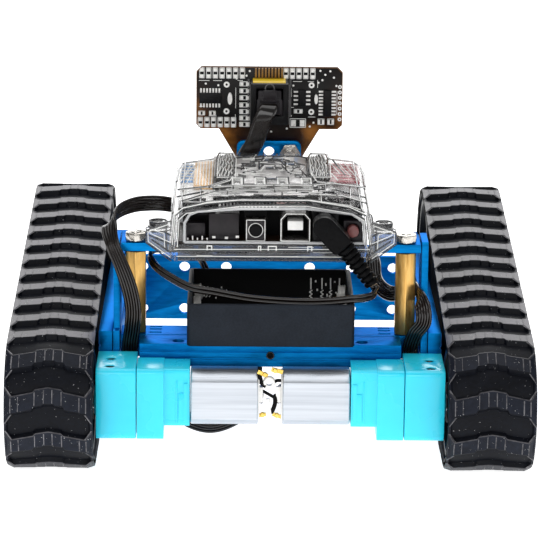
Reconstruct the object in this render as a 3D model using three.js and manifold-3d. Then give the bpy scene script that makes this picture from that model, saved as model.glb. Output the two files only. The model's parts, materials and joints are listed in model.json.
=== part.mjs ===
// Tracked two-motor robot chassis with a clear controller case and a distance sensor on a mast.
// Millimetres, +Z up, +Y is the robot's forward, +X its right-hand side seen from behind.
// The ground is Z = 0 and the origin is below the middle of the chassis.
import * as THREE from "three";
import { mergeVertices } from "three/addons/utils/BufferGeometryUtils.js";
import Module from "manifold-3d";

// ---- driving dimensions -------------------------------------------------
const GAP = 0.3; // clearance between touching pieces
const TRACK_IN = 60.6, TRACK_OUT = 90.8; // belt faces, |X|
const REAR_Y = -78.2, REAR_R = 23.8; // rear belt bend: axle Y, radius over the lugs
const FRONT_Y = 68.7, FRONT_R = 33.3; // front belt bend
const LUGS = 32, LUG_H = 1.9, LUG_LEN = 7.2, BELT_T = 1.6, LUG_START = 3.6;
const PULLEY_IN = 61.4, PULLEY_OUT = 90.0;
const PLATE_IN = 52.8, PLATE_OUT = 55.0; // inner side plates, |X|
const BEAM_IN = 55.3, BEAM_OUT = 60.0; // outer side beams, |X|
const SIDE_Z0 = 21.4, SIDE_Z1 = 45.0;
const DECK_Z0 = 34.8, DECK_Z1 = 42.8, DECK_Y0 = -73.4, DECK_Y1 = -49.4; // flat rear cross beam
const STAND_X = 47.3, STAND_Y = -57.5, STAND_AF = 7.0; // brass hex standoffs
const SHELF_Z0 = 72.8, SHELF_Z1 = 75.8; // brackets that carry the case
const MOTOR_Y = -80.0, MOTOR_Z = 26.5, MOTOR_R = 10.05, MOTOR_FLAT = 7.55;
const CASE_X = 35, CASE_Y0 = -62, CASE_Y1 = 30, CASE_Z0 = 69.6, CASE_SPLIT = 80.2, CASE_WALL = 1.6;
const TRAY_X = 29, TRAY_Y0 = -77.5, TRAY_Y1 = -27, TRAY_Z0 = 43.1, TRAY_Z1 = 58.2;
const PLUG_X = 18.3, PLUG_Z = 84.0; // power jack axis
const SENSOR_Y = 51.0, SENSOR_TOP = 117.6, SENSOR_W = 56;

const wasm = await Module();
wasm.setup();

const robot = new THREE.Group();
robot.name = "tracked_robot";

// ---- colours ------------------------------------------------------------
const mat = (color, roughness, metalness = 0, extra = {}) =>
  new THREE.MeshStandardMaterial({ color, roughness, metalness, ...extra });
const M = {
  blue: mat(0x0f6fb4, 0.38, 0.7),
  rubber: mat(0x24262b, 0.85),
  black: mat(0x17181b, 0.5),
  teal: mat(0x37c6d4, 0.42),
  steel: mat(0xc9c8c4, 0.3, 1),
  nut: mat(0xb9b4a8, 0.25, 1),
  brass: mat(0xb98a45, 0.32, 1),
  clear: mat(0xe9eef0, 0.12, 0, { transparent: true, opacity: 0.35 }),
  board: mat(0x101215, 0.45),
  white: mat(0xe8e6e0, 0.5),
  red: mat(0x7a3535, 0.4),
  cable: mat(0x15161a, 0.45),
};

// ---- solids -------------------------------------------------------------
function solid(geometry) {
  const g = geometry.clone();
  for (const n of Object.keys(g.attributes)) if (n !== "position") g.deleteAttribute(n);
  const m = mergeVertices(g, 1e-4);
  return new wasm.Manifold(
    new wasm.Mesh({
      numProp: 3,
      vertProperties: new Float32Array(m.attributes.position.array),
      triVerts: new Uint32Array(m.index.array),
    }),
  );
}
function geometryOf(s) {
  const m = s.getMesh(), n = m.numProp, v = new Float32Array(m.numVert * 3);
  for (let i = 0; i < m.numVert; i++) v.set(m.vertProperties.subarray(i * n, i * n + 3), i * 3);
  const g = new THREE.BufferGeometry();
  g.setAttribute("position", new THREE.BufferAttribute(v, 3));
  g.setIndex(new THREE.BufferAttribute(new Uint32Array(m.triVerts), 1));
  const flat = g.toNonIndexed();
  flat.computeVertexNormals();
  return flat;
}
const box = (x0, x1, y0, y1, z0, z1) =>
  solid(
    new THREE.BoxGeometry(Math.abs(x1 - x0), Math.abs(y1 - y0), Math.abs(z1 - z0)).translate(
      (x0 + x1) / 2, (y0 + y1) / 2, (z0 + z1) / 2),
  );
function shapeOf(points) {
  const s = new THREE.Shape();
  points.forEach(([a, b], i) => (i ? s.lineTo(a, b) : s.moveTo(a, b)));
  s.closePath();
  return s;
}
// prisms: an outline in a plane, pulled along the third axis
function prismZ(points, z0, z1) {
  return solid(new THREE.ExtrudeGeometry(shapeOf(points), { depth: z1 - z0, bevelEnabled: false }).translate(0, 0, z0));
}
function prismY(points, y0, y1) { // points are [x, z]
  const g = new THREE.ExtrudeGeometry(shapeOf(points), { depth: y1 - y0, bevelEnabled: false });
  return solid(g.rotateX(Math.PI / 2).translate(0, y1, 0));
}
function prismX(points, x0, x1) { // points are [y, z]
  const g = new THREE.ExtrudeGeometry(shapeOf(points), { depth: x1 - x0, bevelEnabled: false });
  return solid(g.rotateX(Math.PI / 2).rotateZ(Math.PI / 2).translate(x0, 0, 0));
}
function turned(profile, seg, axis, at) { // profile [r, along]
  const g = new THREE.LatheGeometry(profile.map(([r, h]) => new THREE.Vector2(r, h)), seg);
  if (axis === "x") g.rotateZ(-Math.PI / 2);
  if (axis === "z") g.rotateX(Math.PI / 2);
  return solid(g.translate(...at));
}
const rod = (axis, r, a, b, c1, c2, seg = 16) => {
  const at = axis === "x" ? [0, c1, c2] : axis === "y" ? [c1, 0, c2] : [c1, c2, 0];
  return turned([[0, a], [r, a], [r, b], [0, b]], seg, axis, at);
};
const ringPts = (cx, cy, r, n, a0 = 0) =>
  Array.from({ length: n }, (_, i) => {
    const a = a0 + (2 * Math.PI * i) / n;
    return [cx + r * Math.cos(a), cy + r * Math.sin(a)];
  });
function roundRect(x0, x1, y0, y1, r, n = 4) {
  const p = [];
  for (const [cx, cy, a] of [[x1 - r, y1 - r, 0], [x0 + r, y1 - r, 90], [x0 + r, y0 + r, 180], [x1 - r, y0 + r, 270]])
    for (let i = 0; i <= n; i++) {
      const t = ((a + (90 * i) / n) * Math.PI) / 180;
      p.push([cx + r * Math.cos(t), cy + r * Math.sin(t)]);
    }
  return p;
}
function add(name, s, material) {
  const mesh = new THREE.Mesh(geometryOf(s), material);
  mesh.name = name;
  robot.add(mesh);
  return mesh;
}
const mirrorX = (s) => s.mirror([1, 0, 0]);
function pair(name, s, material) { // s is the right-hand piece (+X)
  add("right_" + name, s, material);
  add("left_" + name, mirrorX(s), material);
}

// ---- tracks -------------------------------------------------------------
const dy = FRONT_Y - REAR_Y, dz = FRONT_R - REAR_R, span = Math.hypot(dy, dz);
const tilt = Math.atan2(dz, dy), open = Math.asin(dz / span);
const topAngle = Math.PI / 2 + tilt + open; // direction of the belt's outward normal on the top run
const run = span * Math.cos(open);
const inner = { rear: REAR_R - LUG_H - BELT_T, front: FRONT_R - LUG_H - BELT_T };
const NEUTRAL = BELT_T;
// Point at distance s along the belt's neutral line, standing `off` outside its inner face.
const arcRear = (1.5 * Math.PI - topAngle) * (inner.rear + NEUTRAL);
const arcFront = (topAngle + Math.PI / 2) * (inner.front + NEUTRAL);
const loop = 2 * run + arcRear + arcFront;
function beltPoint(s, off) {
  s = ((s % loop) + loop) % loop;
  const bot = -Math.PI / 2;
  let cy, cz, r, a;
  if (s < run) { // bottom run, rear to front
    return [REAR_Y + s, REAR_R - (inner.rear + off)];
  }
  s -= run;
  if (s < arcFront) {
    a = bot + (s / arcFront) * (topAngle - bot);
    [cy, cz, r] = [FRONT_Y, FRONT_R, inner.front + off];
    return [cy + r * Math.cos(a), cz + r * Math.sin(a)];
  }
  s -= arcFront;
  if (s < run) { // top run, front to rear
    const n = [Math.cos(topAngle), Math.sin(topAngle)];
    const t = [-Math.sin(topAngle), Math.cos(topAngle)];
    return [FRONT_Y + n[0] * (inner.front + off) + t[0] * s, FRONT_R + n[1] * (inner.front + off) + t[1] * s];
  }
  s -= run;
  a = topAngle + (s / arcRear) * (1.5 * Math.PI - topAngle);
  r = inner.rear + off;
  return [REAR_Y + r * Math.cos(a), REAR_R + r * Math.sin(a)];
}
const outer = [];
const pitch = loop / LUGS;
for (let i = 0; i < LUGS; i++) {
  const c = i * pitch + LUG_START;
  for (const [ds, off] of [[-LUG_LEN / 2 - 0.9, BELT_T], [-LUG_LEN / 2, BELT_T + LUG_H], [0, BELT_T + LUG_H], [LUG_LEN / 2, BELT_T + LUG_H], [LUG_LEN / 2 + 0.9, BELT_T]])
    outer.push(beltPoint(c + ds, off));
}
const innerPts = [];
for (let i = 0; i < 96; i++) innerPts.push(beltPoint((i * loop) / 96, 0));
const beltSolid = prismX(outer, TRACK_IN, TRACK_OUT).subtract(prismX(innerPts, TRACK_IN - 2, TRACK_OUT + 2));
pair("track", beltSolid, M.rubber);

// ---- pulleys, shafts and axles -------------------------------------------
function pulley(r, y, z, bore, windows, windowR, windowAt) {
  const w = 3.2, hub = 7.0;
  let s = turned([[0, PULLEY_IN], [r - 1.2, PULLEY_IN], [r, PULLEY_IN + 1.2], [r, PULLEY_OUT - 1.2], [r - 1.2, PULLEY_OUT], [0, PULLEY_OUT]], 36, "x", [0, y, z]);
  // recessed outer face with a hub standing in it
  const dish = turned([[hub, PULLEY_OUT - 8], [r - w, PULLEY_OUT - 8], [r - w, PULLEY_OUT + 2], [hub, PULLEY_OUT + 2], [hub, PULLEY_OUT - 8]], 36, "x", [0, y, z]);
  const back = turned([[hub, PULLEY_IN - 2], [r - w, PULLEY_IN - 2], [r - w, PULLEY_IN + 14], [hub, PULLEY_IN + 14], [hub, PULLEY_IN - 2]], 36, "x", [0, y, z]);
  s = s.subtract(dish).subtract(back);
  for (let i = 0; i < windows; i++) {
    const a = (2 * Math.PI * (i + 0.5)) / windows;
    s = s.subtract(rod("x", windowR, PULLEY_IN, PULLEY_OUT + 1, y + windowAt * Math.cos(a), z + windowAt * Math.sin(a), 10));
  }
  return s.subtract(rod("x", bore, PULLEY_IN - 3, PULLEY_OUT + 3, y, z, 16));
}
pair("drive_pulley", pulley(inner.rear - GAP, REAR_Y, REAR_R, 3.2, 6, 3.0, 11.8), M.black);
pair("idler_pulley", pulley(inner.front - GAP, FRONT_Y, FRONT_R, 4.3, 8, 4.6, 17.5), M.black);
// gearbox output shaft with its end screw head
pair("drive_shaft",
  turned([[0, 50], [2.9, 50], [2.9, 90.3], [4.4, 90.3], [4.4, 91.4], [0, 91.4]].map(([r, a]) => [r, Math.min(a, 90.75)]).filter((p, i, q) => !i || p[0] !== q[i - 1][0] || p[1] !== q[i - 1][1]), 20, "x", [0, REAR_Y, REAR_R]), M.steel);
pair("idler_axle",
  turned([[0, 50.4], [5.5, 50.4], [5.5, 52.5], [4.0, 52.5], [4.0, 90.75], [0, 90.75]], 20, "x", [0, FRONT_Y, FRONT_R]), M.steel);

// ---- frame ----------------------------------------------------------------
const plateOutline = [[-65, SIDE_Z0], [84, SIDE_Z0], [90, 25], [93, 31], [93, 35.6], [90, 41.5], [84, SIDE_Z1], [-45, SIDE_Z1], [-45, 75.4], [-46.2, 76.6], [-59.8, 76.6], [-61, 75.4], [-61, SIDE_Z1], [-65, SIDE_Z1]];
let plate = prismX(plateOutline, PLATE_IN, PLATE_OUT);
for (let i = 0; i < 8; i++) plate = plate.subtract(rod("x", 2.05, 50, 57, -56.5 + i * 16, 33.2, 12));
plate = plate.subtract(rod("x", 4.3, 50, 57, FRONT_Y, FRONT_R, 20));
for (const z of [54, 66]) plate = plate.subtract(rod("x", 2.05, 50, 57, -53, z, 12));
pair("side_plate", plate, M.blue);

const beamOutline = [[-65, SIDE_Z0 + 0.2], [-64, SIDE_Z0], [84, SIDE_Z0], [90, 25], [92, 31], [92, 35.6], [90, 41.5], [84, SIDE_Z1], [-64, SIDE_Z1], [-65, SIDE_Z1 - 0.2]];
let beam = prismX(beamOutline, BEAM_IN, BEAM_OUT);
for (let i = 0; i < 8; i++) beam = beam.subtract(rod("x", 2.05, 50, 62, -56.5 + i * 16, 33.2, 12));
beam = beam.subtract(rod("x", 4.3, 50, 62, FRONT_Y, FRONT_R, 20));
for (const z of [27, 39.6]) beam = beam.subtract(box(BEAM_OUT - 0.5, BEAM_OUT + 1, -63, 80, z - 0.4, z + 0.4));
pair("side_beam", beam, M.blue);

let deck = prismZ([[-45.5, DECK_Y0], [45.5, DECK_Y0], [45.5, -61.4], [52.5, -61.4], [52.5, DECK_Y1], [-52.5, DECK_Y1], [-52.5, -61.4], [-45.5, -61.4]], DECK_Z0, DECK_Z1);
for (const x of [-40, -24, -8, 8, 24, 40]) deck = deck.subtract(rod("z", 2.05, DECK_Z0 - 1, DECK_Z1 + 1, x, -53.4, 12));
for (const x of [-32, -16, 16, 32]) deck = deck.subtract(rod("z", 2.05, DECK_Z0 - 1, DECK_Z1 + 1, x, -69.4, 12));
deck = deck.subtract(rod("y", 1.45, DECK_Y0 - 1, DECK_Y0 + 6, 0, 38.8, 12));
deck = deck.subtract(box(-60, 60, -61.7, -61.1, DECK_Z1 - 0.5, DECK_Z1 + 1)).subtract(box(-60, 60, DECK_Y0 - 1, DECK_Y0 + 0.45, 37.2, 37.9)).subtract(box(-60, 60, DECK_Y0 - 1, DECK_Y0 + 0.45, 39.9, 40.5));
add("rear_cross_beam", deck, M.blue);

let front = box(-52.5, 52.5, 36.9, 39.1, SIDE_Z0, 46.6).add(box(-40, 40, 39.0, 56, 44.4, 46.6));
for (const z of [42, 25.5]) for (const x of [-48, -32, -16, 16, 32, 48]) front = front.subtract(rod("y", 2.05, 35, 39.6, x, z, 12));
for (const x of [-24, 24]) front = front.subtract(rod("z", 2.05, 44, 47, x, 44.2 + 3.6, 12));
add("front_cross_plate", front, M.blue);

pair("case_bracket",
  prismZ([[35.7, -61], [52.5, -61], [52.5, -45], [35.7, -45]], SHELF_Z0, SHELF_Z1).subtract(rod("z", 2.05, 70, 78, STAND_X, STAND_Y, 12)).subtract(rod("z", 1.6, 70, 78, 39, -52, 12)), M.blue);
const hex = (x, y, z0, z1, af, bore) =>
  prismZ(ringPts(x, y, af / Math.sqrt(3), 6, Math.PI / 6), z0, z1).subtract(bore ? rod("z", bore, z0 - 1, z1 + 1, x, y, 12) : rod("z", 0.1, z1 + 1, z1 + 2, x, y, 6));
pair("rear_standoff", hex(STAND_X, STAND_Y, DECK_Z1 + GAP, SHELF_Z0 - GAP, STAND_AF, 0), M.brass);
pair("standoff_screw",
  hex(STAND_X, STAND_Y, SHELF_Z1 + GAP, SHELF_Z1 + 3.4, 7.0, 0).add(rod("z", 1.85, 71, SHELF_Z1 + 1, STAND_X, STAND_Y, 12)).subtract(rod("z", 1.5, SHELF_Z1 + 2.4, SHELF_Z1 + 5, STAND_X, STAND_Y, 12)).subtract(box(43, 51.5, -61, -54, 70, SHELF_Z0 - 0.1)), M.nut);
pair("front_standoff", hex(24, 47.8, 46.9, 69.2, 6.0, 0), M.brass);

// ---- gear motors ------------------------------------------------------------
const clip = box(0, 70, MOTOR_Y - MOTOR_FLAT, MOTOR_Y + MOTOR_FLAT, 0, 60);
pair("motor_can", rod("x", MOTOR_R, 4.2, 27.5, MOTOR_Y, MOTOR_Z, 40).intersect(clip)
  .add(rod("x", 3.0, 2.6, 5, MOTOR_Y, MOTOR_Z, 16)), M.steel);
let gearOuter = prismX(roundRect(-90.7, -66.1, 13.2, 38.5, 2.2), 46.2, 60.0);
for (const y of [-77, -86.4]) gearOuter = gearOuter.subtract(rod("z", 1.6, 34, 40, 55.2, y, 12));
gearOuter = gearOuter.subtract(rod("x", 3.2, 48, 61, REAR_Y, REAR_R, 20)).add(turned([[3.2, 58], [5.4, 58], [5.4, 60.9], [3.2, 60.9], [3.2, 58]], 20, "x", [0, REAR_Y, REAR_R]));
pair("gearbox_outer_shell", gearOuter, M.teal);
const gearInner = prismX(roundRect(-90.7, -73.8, 13.2, 38.5, 2.0), 36.7, 45.9)
  .add(prismX(roundRect(-88.2, -73.8, 17.4, 38.0, 1.5), 27.8, 37))
  .add(box(28.4, 29.8, -88.9, -88, 19.5, 33));
pair("gearbox_inner_shell", gearInner, M.teal);
let cap = box(2.0, 3.9, MOTOR_Y - 5.5, MOTOR_Y + 5.5, MOTOR_Z - 8.2, MOTOR_Z + 8.2).subtract(rod("x", 3.3, 1, 6, MOTOR_Y, MOTOR_Z, 20));
for (const z of [MOTOR_Z - 6.2, MOTOR_Z + 6.2]) cap = cap.add(box(1.0, 2.2, MOTOR_Y - 3.6, MOTOR_Y - 1.2, z - 1.6, z + 1.6));
pair("brush_cap", cap, M.white);

// ---- battery tray ------------------------------------------------------------
let tray = prismZ(roundRect(-TRAY_X, TRAY_X, TRAY_Y0, TRAY_Y1, 1.5, 3), TRAY_Z0, TRAY_Z1).subtract(box(-TRAY_X + 1.8, TRAY_X - 1.8, TRAY_Y0 + 1.8, TRAY_Y1 - 1.8, TRAY_Z0 + 2, TRAY_Z1 + 1));
for (const y of [-60.8, -43.9]) tray = tray.add(box(-TRAY_X + 1, TRAY_X - 1, y - 0.6, y + 0.6, TRAY_Z0 + 1, TRAY_Z0 + 5.5));
tray = tray.subtract(box(-6, 6, -70, -34, TRAY_Z0 + 2, TRAY_Z1));
add("battery_tray", tray, M.black);

// ---- controller case -----------------------------------------------------------
const shellPts = (i, z0) => [
  [-CASE_X + i, z0], [CASE_X - i, z0], [CASE_X - i, 84.4], [CASE_X - 0.8 - i, 86.2 - i * 0.3], [31.6 - i, 87.6 - i * 0.8], [26, 89.6 - i], [18, 92.2 - i],
  [-18, 92.2 - i], [-26, 89.6 - i], [-31.6 + i, 87.6 - i * 0.8], [-CASE_X + 0.8 + i, 86.2 - i * 0.3], [-CASE_X + i, 84.4]];
const slope = (i) => [[CASE_Y0 + i, 78], [CASE_Y0 + i, 90.4 - i], [CASE_Y0 + 2.4, 92.1 - i], [-54, 92.0 - i], [CASE_Y1 - i, 88.4 - i], [CASE_Y1 - i, 78]];
let caseTop = prismY(shellPts(0, CASE_SPLIT + GAP), CASE_Y0, CASE_Y1).intersect(prismX(slope(0), -40, 40))
  .subtract(prismY(shellPts(CASE_WALL, 79), CASE_Y0 - 1, CASE_Y1 + 1).intersect(prismX(slope(CASE_WALL), -40, 40)));
const windowBox = box(-29.5, 32, CASE_Y0 - 1, CASE_Y0 + 3, 76.6, 88.2);
caseTop = caseTop.subtract(windowBox);
add("case_top", caseTop, M.clear);
let caseBottom = prismY([[-CASE_X + 1.5, CASE_Z0], [CASE_X - 1.5, CASE_Z0], [CASE_X, CASE_Z0 + 1.5], [CASE_X, CASE_SPLIT], [-CASE_X, CASE_SPLIT], [-CASE_X, CASE_Z0 + 1.5]], CASE_Y0, CASE_Y1);
for (const s of [-1, 1]) { // ears with gussets, resting on the brackets
  const ear = prismY([[s * 34, 79.4], [s * 43.4, 79.4], [s * 43.4, SHELF_Z1 + GAP], [s * 35.4, SHELF_Z1 + GAP], [s * 35.4, SHELF_Z0 - 2.6], [s * 34, CASE_Z0 + 1]].sort(() => 0), -58, -34);
  caseBottom = caseBottom.add(ear.subtract(rod("z", 1.6, 70, 84, s * 39, -52, 12)));
  caseBottom = caseBottom.add(box(s * 20, s * 28, CASE_Y1 - 1, 51.5, CASE_Z0, 72.6));
}
caseBottom = caseBottom.subtract(box(-CASE_X + CASE_WALL, CASE_X - CASE_WALL, CASE_Y0 + CASE_WALL, CASE_Y1 - CASE_WALL, CASE_Z0 + CASE_WALL, 90)).subtract(windowBox);
for (const s of [-1, 1]) caseBottom = caseBottom.add(box(s * 30.6, s * 34, 23, 29, 70.6, 74.4)).add(box(s * 30.6, s * 34, -60.8, -53, 70.6, 74.4));
add("case_bottom", caseBottom, M.clear);

add("controller_board", box(-32.6, 32.6, -59.6, 27.8, 74.7, 76.3), M.board);
let usb = prismY([[3.0, 76.7], [13.8, 76.7], [13.8, 84.9], [11.8, 87.2], [5.0, 87.2], [3.0, 84.9]], -61.8, -46);
usb = usb.subtract(prismY([[4.0, 77.8], [12.8, 77.8], [12.8, 84.5], [11.3, 86.2], [5.5, 86.2], [4.0, 84.5]], -63, -52)).add(box(5.8, 11.0, -61, -50, 80.9, 84.0));
add("usb_socket", usb, M.nut);
add("reset_switch", box(-8.9, -1.9, -60.9, -56.2, 76.6, 84.6).subtract(rod("y", 2.4, -63, -57.8, -5.4, 80.7, 20)), M.nut);
add("reset_button", rod("y", 2.1, -62.6, -58.6, -5.4, 80.7, 20), M.black);
add("power_switch", box(25.2, 31.8, -60.2, -52, 76.6, 84.0).subtract(rod("y", 2.3, -63, -54.6, 28.5, 80.8, 20)), M.nut);
add("power_button", rod("y", 2.0, -63.2, -57, 28.5, 80.8, 20), M.red);
add("dc_jack", box(14.4, 23.4, -60.2, -46, 76.6, 88.2).subtract(rod("y", 3.2, -63, -49, PLUG_X, PLUG_Z, 20)).add(rod("y", 0.8, -59, -48, PLUG_X, PLUG_Z, 10)), M.black);
pair("port_row", box(20.6, 32.8, -34, 27, 76.6, 85.0), M.white);

// ---- distance sensor -------------------------------------------------------------
let mast = box(-12.3, 12.3, SENSOR_Y - 2.3, SENSOR_Y - 0.3, 46.9, 87).add(prismY(roundRect(-12.3, 12.3, 80, 89.2, 2.5), SENSOR_Y - 2.3, SENSOR_Y - 0.3)).add(box(-12.3, 12.3, 41, SENSOR_Y - 1, 46.9, 49));
for (const x of [-8, 0, 8]) mast = mast.subtract(rod("y", 2.05, SENSOR_Y - 4, SENSOR_Y + 1, x, 84.8, 14));
for (const x of [-8, 8]) mast = mast.subtract(rod("y", 2.05, SENSOR_Y - 4, SENSOR_Y + 1, x, 64.8, 14));
for (const x of [-8, 8]) mast = mast.subtract(rod("z", 2.05, 46, 50, x, 44, 12));
add("sensor_mast", mast, M.blue);
const sensorPts = [[-28, 95], [-26.3, 93.4], [-19.3, 93.4], [-12.3, 81.6], [12.3, 81.6], [19.3, 93.4], [26.3, 93.4], [28, 95], [28, SENSOR_TOP - 2], [26, SENSOR_TOP], [-26, SENSOR_TOP], [-28, SENSOR_TOP - 2]];
let board = prismY(sensorPts, SENSOR_Y, SENSOR_Y + 1.6);
for (const x of [-8, 8]) board = board.subtract(rod("y", 2.05, SENSOR_Y - 2, SENSOR_Y + 4, x, 84.8, 14));
add("sensor_board", board, M.board);
const eye = (x) => turned([[0, SENSOR_Y + 1.9], [8, SENSOR_Y + 1.9], [8, SENSOR_Y + 14.4], [6.4, SENSOR_Y + 14.4], [6.4, SENSOR_Y + 13], [0, SENSOR_Y + 13]], 28, "y", [x, 0, 105.4]);
add("sensor_eye_left", eye(-15), M.steel);
add("sensor_eye_right", eye(15), M.steel);
for (const [side, x] of [["left", -8], ["right", 8]]) {
  const nut = prismY(ringPts(x, 84.8, 7 / Math.sqrt(3), 6, 0), SENSOR_Y - 5.6, SENSOR_Y - 2.6).add(rod("y", 1.8, SENSOR_Y - 6.4, SENSOR_Y + 2.2, x, 84.8, 12)).add(rod("y", 3.6, SENSOR_Y + 1.9, SENSOR_Y + 4, x, 84.8, 16));
  add("sensor_screw_" + side, nut, M.nut);
}
let socket = box(-7.2, 7.2, SENSOR_Y - 11.4, SENSOR_Y - 0.3, 97.4, 113.0);
socket = socket.subtract(box(-5.0, 5.0, SENSOR_Y - 13, SENSOR_Y - 2.0, 100.8, 111.2));
add("sensor_socket", socket, M.black);
add("sensor_plug", box(-4.4, 4.4, SENSOR_Y - 12.2, SENSOR_Y - 2.4, 101.4, 110.6), M.black);

// ---- cords -------------------------------------------------------------------------
// A route whose section keeps one side along a chosen direction, for flat ribbon cable.
class FlatRoute extends THREE.CatmullRomCurve3 {
  constructor(points, sides) { super(points, false, "centripetal"); this.sides = sides; }
  computeFrenetFrames(segments) {
    const tangents = [], normals = [], binormals = [], n = this.sides.length - 1;
    for (let i = 0; i <= segments; i++) {
      const u = i / segments, t = this.getTangentAt(u).normalize();
      const k = Math.min(n - 1e-6, this.getUtoTmapping(u) * n), a = Math.floor(k);
      const side = this.sides[a].clone().lerp(this.sides[a + 1], k - a);
      side.addScaledVector(t, -side.dot(t)).normalize();
      tangents.push(t); normals.push(side); binormals.push(new THREE.Vector3().crossVectors(t, side));
    }
    return { tangents, normals, binormals };
  }
}
const V = (p) => new THREE.Vector3(...p);
function ribbon(points, sides, width, thick, steps) {
  const path = new FlatRoute(points.map(V), sides.map(V));
  const g = new THREE.ExtrudeGeometry(shapeOf([[-width / 2, -thick / 2], [width / 2, -thick / 2], [width / 2, thick / 2], [-width / 2, thick / 2]]), { steps, bevelEnabled: false, extrudePath: path });
  return solid(g);
}
function tube(points, r, sides, steps) {
  const path = new THREE.CatmullRomCurve3(points.map(V), false, "centripetal");
  return solid(new THREE.ExtrudeGeometry(shapeOf(ringPts(0, 0, r, sides)), { steps, bevelEnabled: false, extrudePath: path }));
}
// Battery lead: from the plug's strain relief over the battery tray, up to the case and back down to the tray's front wall.
add("battery_lead", tube([[35.72, -67, 62.77], [36.4, -67.3, 61.2], [35.6, -69.5, 60.0], [32.4, -73.4, 59.9], [28.9, -74.2, 59.7], [21.4, -73.4, 58.6], [10.6, -72.6, 58.0], [-6.7, -71.4, 58.8], [-18.9, -68.8, 60.2], [-27.9, -66, 61.2], [-34, -63, 63.4], [-39.8, -59, 66.4], [-42.4, -54, 69.0], [-41.6, -48, 70.0], [-37.8, -41.6, 69.0], [-32, -34, 67.0], [-27.6, -27, 64.0], [-24.6, -22, 59.4], [-23, -21, 55.0], [-22.5, -23.4, 52.4], [-22.5, -26.6, 52.0]], 1.0, 8, 60), M.cable);
// Right-angle plug: a round head on the jack's axis and a bar slanting down to the strain relief.
const slant = Math.atan2(77.2 - 84.0, 24.6 - 18.3);
const along = (t, w, z0, z1) => { // box in the slanted frame
  const g = new THREE.ExtrudeGeometry(shapeOf(roundRect(-3.9, t, -w / 2, w / 2, w / 2 - 0.05, 6)), { depth: z1 - z0, bevelEnabled: false });
  return solid(g.rotateZ(slant).rotateX(Math.PI / 2).translate(PLUG_X, z1, PLUG_Z));
};
const plug = along(11.6, 7.8, -71.6, -63.4).subtract(solid(new THREE.BoxGeometry(6, 20, 12).translate(13.0, 0, 0).rotateY(-slant).translate(PLUG_X, -67, PLUG_Z)))
  .add(rod("y", 2.7, -63.6, -50.2, PLUG_X, PLUG_Z, 20).subtract(rod("y", 1.15, -60, -49, PLUG_X, PLUG_Z, 12)));
add("dc_plug", plug, M.black);
const dir = new THREE.Vector3(Math.cos(slant), 0, Math.sin(slant));
const reliefEnd = new THREE.Vector3(35.5, -67, 63.0), reliefStart = new THREE.Vector3(PLUG_X, -67, PLUG_Z).addScaledVector(dir, 10.4);
const reliefDir = reliefEnd.clone().sub(reliefStart), reliefLen = reliefDir.length();
const reliefG = new THREE.LatheGeometry([[0, 0], [3.4, 0], [2.6, reliefLen], [0, reliefLen]].map(([r, h]) => new THREE.Vector2(r, h)), 16);
reliefG.applyQuaternion(new THREE.Quaternion().setFromUnitVectors(new THREE.Vector3(0, 1, 0), reliefDir.clone().normalize())).translate(...reliefStart.toArray());
add("plug_strain_relief", solid(reliefG), M.black);

// Flat motor cables, six cores wide.
add("left_motor_ribbon", ribbon(
  [[-35.6, -30, 82.3], [-37.6, -30.9, 82.8], [-42.0, -36.6, 84.4], [-48.6, -45, 85.6], [-54, -53, 84.6], [-56.4, -60, 80.8], [-55.2, -64, 76.0], [-52.4, -65.4, 69.6], [-49.4, -65.6, 61], [-48.0, -65.4, 53], [-48.4, -65, 45.6], [-49.2, -63.8, 38.5], [-48.4, -62.6, 32], [-42, -60.4, 26], [-35.4, -59.0, 19.6], [-30.6, -58.4, 12.0], [-21.0, -57.8, 8.3], [-11.6, -58.6, 12.0], [-8.0, -61.8, 18.4], [-5.4, -65.4, 22.4], [-3.1, -69.4, 24.0], [-2.95, -74.1, 24.4]],
  [[0, 0.5, 1], [0, 0.5, 1], [0, 0.3, 1], [0.1, 0.2, 1], [0.2, 0.1, 1], [0.6, 0.6, 0.5], [0.8, 0.7, 0.2], [1, 0.5, 0], [1, 0.2, 0], [1, 0, 0], [1, 0, 0], [1, 0, 0], [1, 0, 0.2], [0.68, 0, 0.74], [0.73, 0, 0.68], [0.66, 0, 0.75], [0, 0, 1], [-0.66, 0, 0.75], [-0.7, 0, 0.7], [-0.3, 0, 1], [0, 0, 1], [0, 0, 1]],
  5.6, 1.0, 68), M.cable);
add("right_motor_ribbon", ribbon(
  [[35.6, -6, 73.6], [36.8, -6.2, 73.2], [37.6, -7.4, 71.2], [37.8, -11, 67.2], [37.6, -20, 60], [38.6, -30, 54.4], [43.0, -42, 53.2], [48.6, -50.4, 56.4], [51.1, -53.6, 58.0], [51.7, -57.6, 58.4], [51.9, -61.6, 58.0], [52.5, -64.4, 57.0], [53.2, -66.6, 54.6], [53.4, -67.2, 49.4], [50.8, -66.6, 45.4], [49.3, -65.0, 40.4], [49.0, -63.6, 35.6], [47.8, -62.6, 31.4], [42, -61, 28.6], [30, -61.4, 26.6], [16, -63.8, 25.4], [6.4, -66.4, 24.6], [3.2, -69.6, 24.4], [2.95, -74.1, 24.4]],
  [[0, 1, 0], [0, 1, 0], [0, 1, 0], [0, 1, 0.3], [0.3, 1, 0.6], [0.6, 0.6, 1], [0.4, 0, 1], [0.2, 0, 1], [0, 0, 1], [0, 0, 1], [0, 0, 1], [0.5, 0, 1], [1, 0, 0.4], [1, 0, 0], [1, 0, 0], [1, 0, 0], [1, 0, 0], [1, 0, 0.2], [0.6, -0.3, 0.8], [0, -0.2, 1], [0, 0, 1], [0, 0, 1], [0, 0, 1], [0, 0, 1]],
  5.6, 1.0, 68), M.cable);
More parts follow.
